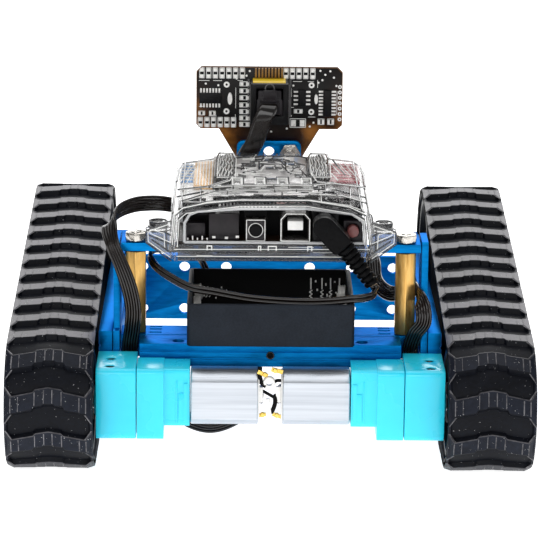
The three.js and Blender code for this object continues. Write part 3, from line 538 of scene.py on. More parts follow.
def belt(s, off):
    s %= loop
    if s < run:
        return (REAR_Y + s, REAR_R - in_r - off)
    s -= run
    if s < arc_f:
        a = -pi / 2 + s / arc_f * (top_a + pi / 2)
        return (FRONT_Y + (in_f + off) * math.cos(a), FRONT_R + (in_f + off) * math.sin(a))
    s -= arc_f
    if s < run:
        n, t = (math.cos(top_a), math.sin(top_a)), (-math.sin(top_a), math.cos(top_a))
        return (FRONT_Y + n[0] * (in_f + off) + t[0] * s, FRONT_R + n[1] * (in_f + off) + t[1] * s)
    s -= run
    a = top_a + s / arc_r * (1.5 * pi - top_a)
    return (REAR_Y + (in_r + off) * math.cos(a), REAR_R + (in_r + off) * math.sin(a))


def track(side, name, node_name):
    xm, hw = side * 75.7, 15.1
    bm = bmesh.new()

    def P(s, u, off):
        y, z = belt(s, off)
        return bm.verts.new(Vector((xm + u, y, z)) * MM)

    # carcass: inner face, side walls, cut corners, groove floor
    sec = [(-hw, 0.5, 0), (-hw, 1.2, 0), (-hw + 0.5, 1.6, 0), (hw - 0.5, 1.6, 0), (hw, 1.2, 0), (hw, 0.5, 0), (hw - 0.4, 0, 0), (-hw + 0.4, 0, 0)]
    n = 256
    rings = [[P(i * loop / n, u, off) for u, off, _ in sec] for i in range(n)]
    for i in range(n):
        a, b = rings[i], rings[(i + 1) % n]
        for k in range(len(sec)):
            j = (k + 1) % len(sec)
            bm.faces.new([a[k], a[j], b[j], b[k]])
    # side rails the lugs run into
    for sg in (-1, 1):
        rail = [(sg * hw, 0.9), (sg * hw, 2.2), (sg * (hw - 0.3), 2.5), (sg * (hw - 0.8), 2.45), (sg * (hw - 1.5), 1.5)]
        rr = [[P(i * loop / n, u, off) for u, off in rail] for i in range(n)]
        for i in range(n):
            a, b = rr[i], rr[(i + 1) % n]
            for k in range(len(rail)):
                j = (k + 1) % len(rail)
                f = bm.faces.new([a[k], a[j], b[j], b[k]])
                f.material_index = 4 if k in (1, 2) else 0
    pitch = loop / LUGS
    # plan of one lug: a shallow chevron whose ends flare into the side rails
    lead = [(-hw, -6.2), (-12.9, -3.1), (-5.2, -4.6), (-4.4, -5.5), (0, -6.2), (4.4, -5.5), (5.2, -4.6), (12.9, -3.1), (hw, -6.2)]
    trail = [(hw, 5.4), (12.9, 2.3), (5.7, 1.1), (5.0, -0.1), (2.4, -0.35), (1.9, -0.85), (-1.7, -0.85), (-2.3, -0.3), (-5.0, 0.0), (-5.7, 1.1), (-12.9, 2.3), (-hw, 5.4)]
    out = lead + trail
    m = len(out)

    def grow(pts, d):
        """Push the leading side forward and the trailing side back by d (negative: shrink)."""
        res = []
        for k, (x, y) in enumerate(pts):
            res.append((x, y - d if k < len(lead) else y + d))
        return res

    levels = [(grow(out, 0.9), 1.35), (grow(out, 0.3), 2.9), (grow(out, 0.16), 3.2), (grow(out, -0.22), 3.34)]
    for k in range(LUGS):
        c = k * pitch + PHASE + 1.3
        upper = belt(c, 1)[1] - belt(c, 0)[1] > 0.86
        rows = []
        for pts, off in levels:
            rows.append([P(c + s, u, off - (0.75 if abs(u) > hw - 0.1 else 0)) for u, s in pts])
        for a, b in zip(rows, rows[1:]):
            for i in range(m):
                j = (i + 1) % m
                f = bm.faces.new([a[i], a[j], b[j], b[i]])
                end = i in (0, len(lead) - 2, len(lead), m - 2)
                f.material_index = (2 if upper or i < len(lead) - 1 else 4) if (b is rows[-1] and (end or i < len(lead) - 1)) else 0
        # top in strips across, so it stays flat between the leading and trailing edges
        cols = sorted({u for u, _ in out})

        def edge_at(pts, u):
            pts = sorted(pts)
            for (x0, y0), (x1, y1) in zip(pts, pts[1:]):
                if x0 - 1e-9 <= u <= x1 + 1e-9:
                    return y0 + (y1 - y0) * ((u - x0) / (x1 - x0) if x1 > x0 else 0)
        tl, tt = levels[-1][0][:len(lead)], levels[-1][0][len(lead):]
        strip = [(P(c + edge_at(tl, u), u, 3.34 - (0.75 if abs(u) > hw - 0.1 else 0)), P(c + edge_at(tt, u), u, 3.34 - (0.75 if abs(u) > hw - 0.1 else 0))) for u in cols]
        # painted light: lug tops on the upper run take the lighter rubber copy for the light they catch from above; the
        # other lugs take the plain lug rubber
        for (a0, a1), (b0, b1) in zip(strip, strip[1:]):
            f = bm.faces.new([a0, a1, b1, b0])
            f.material_index = 1 if upper else 4
        # thin moulding lines across the lug, pale with dust, and the bright pairs along its flared ends, which are
        # painted highlights
        for wl in (0.075, 0.16, 0.345, 0.45, 0.545, 0.65, 0.85, 0.925):
            u = -hw + wl * 2 * hw
            s0, s1 = edge_at(lead, u) + 0.5, edge_at(trail, u) - 0.3
            q = [P(c + s0, u - 0.2, 3.30), P(c + s1, u - 0.2, 3.30), P(c + s1, u + 0.2, 3.30), P(c + s0, u + 0.2, 3.30)]
            t = [P(c + s0, u, 3.42), P(c + s1, u, 3.42)]
            for fv in ([q[0], q[1], t[1], t[0]], [q[3], t[0], t[1], q[2]], [q[0], t[0], q[3]], [q[1], q[2], t[1]]):
                f = bm.faces.new(fv)
                f.material_index = 3
        for sg in (-1, 1):
            for s0, s1 in ((-3.35, -6.35), (2.5, 5.6)):
                q = [P(c + s0, sg * 12.8, 3.26), P(c + s1, sg * 14.98, 2.68), P(c + s1, sg * 14.55, 2.78), P(c + s0, sg * 12.3, 3.28)]
                t = [P(c + s0, sg * 12.6, 3.43), P(c + s1, sg * 14.8, 2.9)]
                for fv in ([q[0], q[1], t[1], t[0]], [q[3], t[0], t[1], q[2]]):
                    f = bm.faces.new(fv)
                    f.material_index = 3
    o = to_obj(bm, name)
    return finish_piece(o, ["rubber", "rubber_top", "rubber_edge", "rubber_line", "rubber_arc"], replaces=node_name, angle=28)


track(1, "right_rubber_track", "right_track")
track(-1, "left_rubber_track", "left_track")

# ------------------------------------------------------------------ pulleys and shafts
for sd in ("left", "right"):
    from_node(f"{sd}_drive_pulley", f"{sd}_drive_pulley_visual", "black", bevel=0.45)
    from_node(f"{sd}_idler_pulley", f"{sd}_idler_pulley_visual", "black", bevel=0.45)
    from_node(f"{sd}_drive_shaft", f"{sd}_drive_shaft_visual", "steel", bevel=0.2)
    from_node(f"{sd}_idler_axle", f"{sd}_idler_axle_visual", "steel", bevel=0.2)

# ------------------------------------------------------------------ blue frame
for sd, sg in (("left", -1), ("right", 1)):
    bm = bmesh.new()
    po = [(-65, 21.4), (84, 21.4), (90, 25), (93, 31), (93, 35.6), (90, 41.5), (84, 45), (-45, 45), (-45, 75.4), (-46.2, 76.6), (-59.8, 76.6), (-61, 75.4), (-61, 45), (-65, 45)]
    add_prism(bm, po, "x", *sorted((sg * 52.8, sg * 55.0)))
    o = to_obj(bm, f"{sd}_side_plate_visual")
    a, b = sorted((sg * 51, sg * 57))
    drill(o, [("x", -56.5 + i * 16, 33.2, 2.05, a, b) for i in range(8)] + [("x", FRONT_Y, FRONT_R, 4.3, a, b), ("x", -53, 54, 2.05, a, b), ("x", -53, 66, 2.05, a, b)])
    finish_piece(o, "blue", bevel=0.35, replaces=f"{sd}_side_plate")
    bm = bmesh.new()
    bo = [(-65, 21.4), (84, 21.4), (90, 25), (92, 31), (92, 35.6), (90, 41.5), (84, 45), (-65, 45)]
    add_prism(bm, bo, "x", *sorted((sg * 55.3, sg * 60.0)))
    o = to_obj(bm, f"{sd}_side_beam_visual")
    a, b = sorted((sg * 54, sg * 62))
    drill(o, [("x", -56.5 + i * 16, 33.2, 2.05, a, b) for i in range(8)] + [("x", FRONT_Y, FRONT_R, 4.3, a, b)])
    bm = bmesh.new()
    for z in (27, 39.6):
        add_box(bm, *sorted((sg * 59.5, sg * 61)), -66, 80, z - 0.4, z + 0.4)
    cut(o, to_obj(bm, "grooves"))
    finish_piece(o, "blue", bevel=0.4, replaces=f"{sd}_side_beam")
    bm = bmesh.new()
    x0, x1 = sorted((sg * 35.7, sg * 52.5))
    add_prism(bm, [(x0, -61), (x1, -61), (x1, -45), (x0, -45)], "z", 72.8, 75.8)
    o = to_obj(bm, f"{sd}_case_bracket_visual")
    drill(o, [("z", sg * 47.3, -57.5, 2.05, 70, 78), ("z", sg * 39, -52, 1.6, 70, 78)])
    finish_piece(o, "blue", bevel=0.3, replaces=f"{sd}_case_bracket")

bm = bmesh.new()
add_prism(bm, [(-45.5, -73.4), (45.5, -73.4), (45.5, -61.4), (52.5, -61.4), (52.5, -49.4), (-52.5, -49.4), (-52.5, -61.4), (-45.5, -61.4)], "z", 34.8, 42.8)
o = to_obj(bm, "rear_cross_beam_visual")
drill(o, [("z", x, -53.4, 2.05, 33, 44) for x in (-24, -8, 8, 24)] + [("z", x, -69.4, 2.05, 33, 44) for x in (-32, -16, 16, 32)] + [("y", 0, 38.8, 1.45, -75, -67)])
bm = bmesh.new()
add_box(bm, -60, 60, -61.7, -61.1, 42.3, 44)
add_box(bm, -60, 60, -75, -72.95, 37.2, 37.9)
add_box(bm, -60, 60, -75, -72.95, 39.9, 40.5)
cut(o, to_obj(bm, "grooves"))
bm = bmesh.new()
for sg in (-1, 1):
    for y in (-50.9, -54.2, -58.4):
        add_prism(bm, rrect(sg * 40.3 - 2.2, sg * 40.3 + 2.2, y - 0.75, y + 0.75, 0.7), "z", 38, 44)
cut(o, to_obj(bm, "slots"))
finish_piece(o, "blue", bevel=0.35, seg=3, replaces="rear_cross_beam")

from_node("front_cross_plate", "front_cross_plate_visual", "blue", bevel=0.25)

# set screw in the end hole of the cross beam
bm = bmesh.new()
prof = [(0, -72.7), (0.7, -72.7), (0.7, -73.2), (1.15, -73.3)]
z = -73.3
while z < -70:
    prof += [(1.38, z + 0.1), (1.28, z + 0.3)]
    z += 0.4
add_lathe(bm, prof + [(0, -69.6)], "y", (0, 38.8), 32)
finish_piece(to_obj(bm, "cross_beam_screw"), "matt_black", angle=60)
bm = bmesh.new()
add_lathe(bm, [(0.95, -73.2), (1.2, -73.34), (1.34, -73.2), (1.34, -73.0), (0.95, -73.0)], "y", (0, 38.8), 32)
finish_piece(to_obj(bm, "cross_beam_screw_rim"), "grey", angle=60)

# ------------------------------------------------------------------ standoffs and nuts
def hexa(x, y, z0, z1, af, bm, mat=0, rot=pi / 6):
    add_prism(bm, ring_pts(x, y, af / math.sqrt(3), 6, rot), "z", z0, z1, mat)


for sd, sg in (("left", -1), ("right", 1)):
    bm = bmesh.new()
    hexa(sg * 47.3, -57.5, 43.1, 72.5, 7.0, bm)
    finish_piece(to_obj(bm, f"{sd}_rear_standoff_visual"), "brass", bevel=0.3, replaces=f"{sd}_rear_standoff")
    bm = bmesh.new()
    hexa(sg * 24, 47.8, 46.9, 69.2, 6.0, bm)
    finish_piece(to_obj(bm, f"{sd}_front_standoff_visual"), "brass", bevel=0.3, replaces=f"{sd}_front_standoff")
    bm = bmesh.new()
    hexa(sg * 47.3, -57.5, 76.1, 79.0, 7.0, bm)
    o = to_obj(bm, f"{sd}_bracket_nut")
    drill(o, [("z", sg * 47.3, -57.5, 1.75, 70, 84)])
    finish_piece(o, "nickel", bevel=0.35, seg=3, replaces=f"{sd}_standoff_screw")
    bm = bmesh.new()
    prof = [(0, 73.0)]
    z = 73.0
    while z < 79.0:
        prof += [(1.62, z), (1.72, z + 0.25)]
        z += 0.5
    prof += [(1.5, 79.2), (0, 79.2)]
    add_lathe(bm, prof, "z", (sg * 47.3, -57.5), 32)
    finish_piece(to_obj(bm, f"{sd}_bracket_screw"), "nickel", angle=60)

# ------------------------------------------------------------------ gear motors
for sd, sg in (("left", -1), ("right", 1)):
    Y, Z, R, F = -80.0, 26.5, 10.05, 7.55
    pts = []
    a0 = math.acos(F / R)
    for k in range(41):
        a = a0 + (pi - 2 * a0) * k / 40
        pts.append((Y + R * math.cos(a), Z + R * math.sin(a)))
    for k in range(41):
        a = pi + a0 + (pi - 2 * a0) * k / 40
        pts.append((Y + R * math.cos(a), Z + R * math.sin(a)))
    bm = bmesh.new()
    add_prism(bm, pts, "x", *sorted((sg * 4.2, sg * 27.5)))
    o = to_obj(bm, f"{sd}_motor_can_visual")
    finish_piece(o, "can", bevel=0.45, seg=3, replaces=f"{sd}_motor_can", limit=50)
    o.data.materials.append(MAT["can_flat"])
    for p in o.data.polygons:
        if abs(p.normal.y) > 0.995:
            p.material_index = 1
    # rolled seam and end caps of the can
    bm = bmesh.new()
    pin = [(Y + (y - Y) * 0.93, Z + (z_ - Z) * 0.93) for y, z_ in pts]
    add_prism(bm, pin, "x", *sorted((sg * 3.75, sg * 4.6)))
    o = to_obj(bm, f"{sd}_motor_end_cap")
    drill(o, [("x", Y, Z, 3.0, -6, 6)])
    finish_piece(o, "white", bevel=0.15, replaces=f"{sd}_brush_cap")
    bm = bmesh.new()
    add_lathe(bm, [(0, sg * 4.6), (2.9, sg * 4.6), (2.9, sg * 3.1), (2.5, sg * 2.8), (0.9, sg * 2.8), (0.9, sg * 2.2), (0, sg * 2.2)], "x", (Y, Z), 32)
    finish_piece(to_obj(bm, f"{sd}_motor_bearing"), "steel")
    from_node(f"{sd}_gearbox_outer_shell", f"{sd}_gearbox_outer_visual", "teal", bevel=0.7, seg=3)
    from_node(f"{sd}_gearbox_inner_shell", f"{sd}_gearbox_inner_visual", "teal", bevel=0.6, seg=3)
    # moulded latch on the rear face of the inner shell, where it meets the outer one
    bm = bmesh.new()
    add_box(bm, *sorted((sg * 28.4, sg * 31.6)), -88.7, -88.1, 20.0, 29.5)
    add_box(bm, *sorted((sg * 31.9, sg * 32.5)), -88.5, -88.1, 18.6, 34.0)
    finish_piece(to_obj(bm, f"{sd}_gearbox_latch"), "teal", bevel=0.2)
    # two case screws seen in the top holes
    bm = bmesh.new()
    for y in (-77, -86.4):
        add_lathe(bm, [(0, 37.5), (0.45, 37.5), (0.45, 37.8), (0.95, 37.8), (0.95, 35), (0, 35)], "z", (sg * 55.2, y), 24)
    finish_piece(to_obj(bm, f"{sd}_gearbox_screws"), "nickel", bevel=0.1)
    # painted shade: black rings round the screws for the shaded insides of the holes
    bm = bmesh.new()
    for y in (-77, -86.4):
        add_lathe(bm, [(0.98, 37.95), (1.75, 38.1), (1.9, 38.1), (1.9, 36.2), (0.98, 36.2)], "z", (sg * 55.2, y), 28)
    finish_piece(to_obj(bm, f"{sd}_gearbox_screw_shade_rings"), "matt_black")

# solder tabs, suppressor ring and leads between the two cans
def bar(bm, a, b, w, t, mat=0):
    """A flat bar from a to b (x, z) in the plane y = a[2], w wide and t thick."""
    (x0, z0), (x1, z1), y = a[:2], b[:2], a[2]
    d = Vector((x1 - x0, z1 - z0)).normalized()
    nx, nz = -d.y * w / 2, d.x * w / 2
    add_prism(bm, [(x0 + nx, z0 + nz), (x0 - nx, z0 - nz), (x1 - nx, z1 - nz), (x1 + nx, z1 + nz)], "y", y - t / 2, y + t / 2, mat)


bm = bmesh.new()
bar(bm, (-4.4, 36.6, -85.4), (-0.9, 35.0), 1.5, 0.5)
bar(bm, (4.3, 36.4, -85.2), (0.3, 37.4), 1.6, 0.5)
bar(bm, (-4.4, 20.7, -85.4), (-1.4, 21.3), 1.3, 0.5)
bar(bm, (4.3, 20.2, -85.4), (0.8, 21.4), 1.4, 0.5)
for x, z in ((-1.9, 35.5), (1.6, 37.0), (-2.6, 21.1), (2.3, 20.9)):
    add_lathe(bm, [(0, -86.0), (0.75, -86.0), (0.9, -85.6), (0.9, -84.9), (0, -84.9)], "y", (x, z), 20)
finish_piece(to_obj(bm, "motor_solder_tabs"), "gold", bevel=0.12)
bm = bmesh.new()
add_lathe(bm, [(1.0, -86.4), (1.9, -86.4), (2.15, -85.9), (2.15, -84.6), (1.9, -84.2), (1.0, -84.2)], "y", (-0.4, 32.7), 36)
bar(bm, (-3.4, 31.0, -85.0), (-3.4, 25.6), 1.7, 1.4)
bar(bm, (2.8, 31.2, -85.0), (2.8, 25.6), 1.8, 1.4)
bar(bm, (-0.9, 27.2, -86.2), (-0.2, 21.8), 1.3, 1.0)
finish_piece(to_obj(bm, "motor_suppressor_parts"), "tin", bevel=0.2)
bm = bmesh.new()
for pts, r in (([(-2.95, -76.5, 24.4), (-3.0, -80.5, 25.6), (-2.8, -84.4, 29.4), (-1.2, -85.6, 28.9), (0.8, -85.8, 27.8), (1.8, -85.4, 26.9)], 0.55),
               ([(2.9, -76.5, 24.4), (2.5, -81.0, 26.4), (1.6, -85.2, 27.6), (1.7, -85.8, 25.6), (1.1, -85.9, 23.4), (0.5, -85.4, 21.9)], 0.75),
               ([(-3.6, -84.4, 38.0), (-3.7, -85.0, 35.0), (-3.0, -85.4, 32.6), (-1.5, -85.8, 31.4)], 0.8),
               ([(3.5, -84.6, 33.2), (2.2, -85.4, 33.4), (1.0, -85.8, 32.8)], 0.6)):
    ln, _, _ = smooth_path(pts, 0.5)
    T, N, B = frames_of(ln)
    add_tube(bm, ln, N, B, r, 10)
finish_piece(to_obj(bm, "motor_lead_wires"), "matt_black", angle=60)

# ------------------------------------------------------------------ battery tray
o = from_node("battery_tray", "battery_tray_visual", "tray", bevel=0.45, seg=3)
# painted shade: the faces inside the holder take the darker matt black, for the shade in its well
o.data.materials.append(MAT["matt_black"])
for p in o.data.polygons:
    c = p.center / MM
    if abs(c.x) < 28.4 and -76.9 < c.y < -27.6 and 43.6 < c.z < 57.9:
        p.material_index = len(o.data.materials) - 1
# contact strips and small dots, all in white: real contacts, with their brightness and the dots painted highlights
bm = bmesh.new()
for x in (14.9, 18.9, 22.0, 25.2):
    bar(bm, (x, 55.4, -29.5), (x, 51.2), 0.5, 0.5)
    for k in range(5):
        bar(bm, (x - 0.55 if k % 2 else x + 0.55, 50.9 - 0.75 * k, -29.6), (x + 0.55 if k % 2 else x - 0.55, 50.2 - 0.75 * k), 0.36, 0.36)
for x in (-25.6, -24.1, -22.8, -21.6):
    for k in range(3):
        bar(bm, (x - 0.3 if k % 2 else x + 0.3, 50.4 - 0.9 * k, -29.6), (x + 0.3 if k % 2 else x - 0.3, 49.8 - 0.9 * k), 0.32, 0.36)
for k, (x, z) in enumerate(((-26.8, 51.8), (-26.2, 49.9), (-25.0, 52.6), (-24.4, 50.9), (-23.6, 48.6), (-22.4, 51.4), (-21.4, 49.2), (-20.2, 50.6), (-19.4, 47.9), (-18.2, 49.8), (-16.8, 48.4), (-15.6, 50.3), (-17.4, 51.6), (16.6, 54.2), (20.3, 53.0), (23.5, 54.0), (17.2, 51.0), (20.8, 49.0), (24.0, 50.0), (26.4, 52.4), (26.2, 48.6))):
    add_box(bm, x - 0.28, x + 0.28, -29.7, -29.2, z - 0.28 - 0.1 * (k % 3), z + 0.28 + 0.1 * (k % 3))
finish_piece(to_obj(bm, "battery_contacts_and_glints"), "silk", bevel=0.08)
bm = bmesh.new()
for sg in (-1, 1):
    for y, d in ((-69.2, 1), (-52.3, -1), (-35.4, 1)):
        ln = np.array([(sg * (27.0 - 2.6 * t / 40), y + 2.6 * math.cos(t * 0.62), 51.5 + 2.6 * math.sin(t * 0.62)) for t in range(41)])
        T, N, B = frames_of(ln)
        add_tube(bm, ln, N, B, 0.35, 8)
finish_piece(to_obj(bm, "battery_springs"), "tin", angle=60)

# ------------------------------------------------------------------ case, board and sockets
from_node("controller_board", "controller_board_visual", "pcb", bevel=0.1)
# socket shell in the darkened steel: painted shade
from_node("usb_socket", "usb_socket_visual", "dark_steel", bevel=0.2)
bm = bmesh.new()
add_box(bm, 4.1, 12.7, -52.6, -52.0, 77.9, 86.0)
finish_piece(to_obj(bm, "usb_socket_back"), "matt_black")
bm = bmesh.new()
add_box(bm, 5.7, 11.1, -61.2, -50.5, 80.8, 84.1)
finish_piece(to_obj(bm, "usb_socket_tongue"), "white", bevel=0.25)
from_node("reset_switch", "reset_switch_visual", "dark_steel", bevel=0.2)
bm = bmesh.new()
add_box(bm, -8.5, -2.3, -60.98, -60.6, 77.0, 84.2)
o = to_obj(bm, "reset_switch_plate")
drill(o, [("y", -5.4, 80.7, 2.45, -63, -58)])
finish_piece(o, "dark_grey", bevel=0.1)
from_node("reset_button", "reset_button_visual", "matt_black", bevel=0.3)
from_node("power_switch", "power_switch_visual", "dark_grey", bevel=0.2)
from_node("power_button", "power_button_visual", "button_red", bevel=0.3)
from_node("dc_jack", "dc_jack_visual", "black", bevel=0.3)


def tubes(name, lines, r, mat, sides=8, closed=False, smooth=False):
    bm = bmesh.new()
    for pts in lines:
        pts = [tuple(q) for q in pts]
        if closed:
            pts = pts + [pts[0]]
        dense = []
        for a, b in zip(pts, pts[1:]):
            n = max(1, int(math.dist(a, b) / 1.2))
            dense += [tuple(a[k] + (b[k] - a[k]) * t / n for k in range(3)) for t in range(n)]
        dense.append(pts[-1])
        ln = np.array(dense, float)
        if smooth:
            ln, _, _ = smooth_path(pts, 1.0)
        T, N, B = frames_of(ln)
        add_tube(bm, ln, N, B, r, sides)
    return finish_piece(to_obj(bm, name), mat, angle=60)


def top_z(y):
    return 92.0 - max(0.0, y + 54) * 3.6 / 84


# insides seen through the window: a matt black wall, painted shade for the dark inside of the case, and dark parts on
# the board
bm = bmesh.new()
add_box(bm, -31, 31.4, -50.5, -49.5, 76.4, 87.0)
add_box(bm, -9.4, -1.5, -56, -50.2, 76.4, 86.6)
add_box(bm, 14.2, 25.0, -52, -50, 76.4, 88)
finish_piece(to_obj(bm, "inner_shadow_wall"), "matt_black", bevel=0.2)
bm = bmesh.new()
add_box(bm, -21.8, -11.2, -58.5, -51, 76.4, 85.9)
add_box(bm, -29.8, -23.0, -56.5, -51, 76.4, 82.0)
finish_piece(to_obj(bm, "board_relays"), "dark_grey", bevel=0.4)
bm = bmesh.new()
for k in range(5):
    add_box(bm, -29.4 + 1.7 * k, -28.9 + 1.7 * k, -58.8, -58.2, 76.4, 77.2 + 0.7 * (k % 2))
for x, z in ((-20.6, 77.2), (-16.2, 77.0), (-12.4, 77.4)):
    add_box(bm, x, x + 1.2, -59.2, -58.7, z, z + 0.8)
finish_piece(to_obj(bm, "board_pins"), "tin", bevel=0.08)

# sockets along both sides, four to a side, with coloured tops
for sd, sg in (("left", -1), ("right", 1)):
    bm = bmesh.new()
    for k in range(4):
        y0 = -34 + 15.4 * k
        x0, x1 = sorted((sg * 20.6, sg * 32.8))
        add_box(bm, x0, x1, y0, y0 + 14.4, 76.6, 84.6)
    o = to_obj(bm, f"{sd}_port_row_visual")
    bm = bmesh.new()
    for k in range(4):
        y0 = -34 + 15.4 * k
        add_box(bm, *sorted((sg * 30.0, sg * 36)), y0 + 2.4, y0 + 12.0, 77.6, 83.0)
    cut(o, to_obj(bm, "port_mouths"))
    finish_piece(o, "white" if sd == "left" else "grey", bevel=0.3, replaces=f"{sd}_port_row")
    bm = bmesh.new()
    for k in range(4):
        y0 = -34 + 15.4 * k
        for q in range(6):
            add_box(bm, *sorted((sg * 26, sg * 32.4)), y0 + 4.2 + q * 1.1, y0 + 4.6 + q * 1.1, 82.2, 82.6)
    finish_piece(to_obj(bm, f"{sd}_port_contacts"), "gold", bevel=0.05)
bm = bmesh.new()
add_box(bm, -27.9, -20.8, -16, 26, 84.7, 86.2)
finish_piece(to_obj(bm, "left_label_tan"), "tan", bevel=0.3)
bm = bmesh.new()
add_box(bm, -33.0, -28.3, -4, 26, 84.0, 85.0)
finish_piece(to_obj(bm, "left_label_blue"), "skyblue", bevel=0.3)
bm = bmesh.new()
add_box(bm, 21.6, 33.0, -4, 27, 84.3, 85.4)
finish_piece(to_obj(bm, "right_label_red"), "red", bevel=0.3)
bm = bmesh.new()
for k in range(6):
    add_prism(bm, [(22.2, -1 + k * 4.8), (32.6, -3.4 + k * 4.8), (32.6, -2.5 + k * 4.8), (22.2, -0.2 + k * 4.8)], "z", 85.3, 85.7)
finish_piece(to_obj(bm, "right_label_lines"), "pink", bevel=0.05)
bm = bmesh.new()
for k in range(6):
    add_box(bm, -32.9, -28.4, -2.6 + k * 4.9, -0.9 + k * 4.9, 84.9, 85.3)
    add_box(bm, -27.0 + k * 1.1, -26.6 + k * 1.1, -15, 25.4, 86.1, 86.4)
finish_piece(to_obj(bm, "left_label_lines"), "silk", bevel=0.05)

# things under the clear lid
bm = bmesh.new()
add_box(bm, -14.4, 14.4, -16, 26, 84.6, 85.6)
finish_piece(to_obj(bm, "inner_tray"), "white", bevel=0.3)
bm = bmesh.new()
add_box(bm, 1.2, 12.4, -47, -40, 85.2, 86.4)
add_box(bm, -8, 8.5, 3, 7.5, 85.5, 86.3)
finish_piece(to_obj(bm, "inner_pink_parts"), "pink", bevel=0.2)
bm = bmesh.new()
for x0, x1, y0, y1 in ((-11.5, -5.2, 14, 22), (5.4, 11.6, 14, 22), (-3.4, 3.6, -8, 0.5), (-12.4, -9.4, -12, 8), (9.6, 12.4, -12, 8), (-2.0, 2.2, 9.4, 12.0)):
    add_box(bm, x0, x1, y0, y1, 85.5, 86.5)
finish_piece(to_obj(bm, "inner_grey_parts"), "grey", bevel=0.3)
bm = bmesh.new()
for x0, x1 in ((-13.9, -10.0), (-5.3, -1.5), (3.2, 6.9), (11.6, 15.2)):
    add_box(bm, x0, x1, -33.5, -21.5, 88.2, 89.2)
o = to_obj(bm, "status_lights")
bm = bmesh.new()
for x0, x1 in ((-13.9, -10.0), (-5.3, -1.5), (3.2, 6.9), (11.6, 15.2)):
    add_box(bm, x0 + 0.7, x1 - 0.7, -31.0, -24.0, 88.8, 90)
cut(o, to_obj(bm, "light_wells"))
finish_piece(o, "silk", bevel=0.2)
bm = bmesh.new()
for k in range(16):
    x = -17.6 + k * 1.25
    add_box(bm, x, x + 0.62, -59.8, -52.5, 88.6, 90.2)
for x0, x1, y0, y1 in ((14, 31, -58, -40), (-31, -19.5, -58, -44)):
    add_box(bm, x0, x1, y0, y1, 85.2, 86.4)
for k in range(22):
    x = -20.4 + k * 1.5
    if k not in (7, 13, 18):
        add_box(bm, x, x + 0.95, -49.6, -48.9, 88.4, 89.6)
        add_box(bm, x + 0.4, x + 1.2, -55.2, -54.6, 89.2, 90.4)
for x0, x1, y, z in ((-31, -20.5, -52, 87.2), (-29, -23, -46, 87.4), (15.8, 24.5, -50, 88.0), (18.2, 29.0, -43, 87.2), (17.2, 21.6, -56, 88.4)):
    add_box(bm, x0, x1, y, y + 1.0, z, z + 0.9)
finish_piece(to_obj(bm, "board_headers"), "matt_black", bevel=0.12)
bm = bmesh.new()
add_box(bm, -18.4, 2.6, -58.5, -53.5, 87.4, 88.6)
finish_piece(to_obj(bm, "header_base"), "white", bevel=0.2)

# clear shells, with the ribs, lips and blocks moulded into them
from_node("case_top", "case_top_visual", "clear", bevel=0.5, seg=3, edge_mat="clear_edge")
from_node("case_bottom", "case_bottom_visual", "clear", bevel=0.5, seg=3, edge_mat="clear_edge")
fa = [(-34.4, 75.2), (-33.6, 86.0), (-30.8, 88.4), (-22.9, 90.2), (-11.3, 91.4), (12.9, 91.5), (27.1, 89.2), (33.2, 86.4), (34.6, 75.8)]
fb = [(-32.7, 75.2), (-32.1, 85.1), (-29.6, 87.3), (-11.2, 90.0), (12.1, 90.2), (28.0, 87.6), (32.2, 85.2), (33.2, 75.6)]
win = [(-30.2, 76.5), (-30.2, 83.4), (-28.4, 86.4), (-25.6, 87.5), (-11.2, 88.5), (12.1, 88.8), (28.0, 87.0), (31.4, 84.8), (32.3, 83.0), (32.3, 76.5)]
tubes("case_front_ribs", [[(x, -61.95, z) for x, z in fa], [(x, -62.0, z) for x, z in fb]], 0.42, "clear_dark")
# painted highlights: thin white lines along the front frame and skirt of the clear case
tubes("case_front_glint_lines", [[(x, -62.3, z + 0.35) for x, z in fa], [(x, -62.35, z - 0.45) for x, z in fb], [(-33.7, -62.2, 73.9), (34.4, -62.2, 74.4)], [(-33.0, -62.2, 71.4), (33.0, -62.2, 71.6)]], 0.16, "silk")
tubes("case_window_lip", [[(x, -62.1, z) for x, z in win]], 0.5, "clear_rib", closed=True)
bm = bmesh.new()
add_box(bm, -32.6, 32.8, -60.7, -60.2, 70.3, 75.3)
finish_piece(to_obj(bm, "case_skirt_shade"), "smoke", bevel=0.1)
# painted shade: dark patches on the clear skirt
bm = bmesh.new()
for x0, x1, z0, z1 in ((-30.5, -22.0, 72.2, 73.2), (-19, -8.4, 71.9, 72.6), (-13.6, -3.0, 73.6, 74.6), (4.4, 13.6, 72.0, 73.0), (16.4, 29.6, 73.3, 74.2), (19.0, 25.8, 71.5, 72.4), (-31.6, -27.0, 74.0, 75.0)):
    add_box(bm, x0, x1, -61.2, -60.8, z0, z1)
finish_piece(to_obj(bm, "case_skirt_shade_marks"), "clear_dark", bevel=0.1)
bm = bmesh.new()
for x0, x1, z in ((-31.4, -17.0, 73.5), (-26.0, -20.4, 71.4), (-7.6, 3.4, 72.9), (-1.0, 9.4, 71.3), (14.6, 31.0, 72.8), (21.0, 27.6, 74.6), (6.0, 15.0, 74.6)):
    add_box(bm, x0, x1, -61.3, -61.0, z, z + 0.22)
finish_piece(to_obj(bm, "case_skirt_glints"), "silk", bevel=0.05)
tubes("case_skirt_ribs", [[(-33.6, -61.9, 73.2), (34.2, -61.9, 73.6)], [(-32.6, -61.9, 70.2), (32.6, -61.9, 70.3)]], 0.4, "clear_dark")
bm = bmesh.new()
for x, w in ((-22.5, 2.0), (-1.2, 3.2), (-4.6, 1.2), (12.6, 1.8)):
    add_box(bm, x, x + 0.4, -62.3, -61.8, 73.6, 75.0)
    add_box(bm, x + w - 0.4, x + w, -62.3, -61.8, 73.6, 75.0)
    add_box(bm, x, x + w, -62.3, -61.8, 75.0, 75.4)
finish_piece(to_obj(bm, "case_front_marks"), "silk", bevel=0.08)
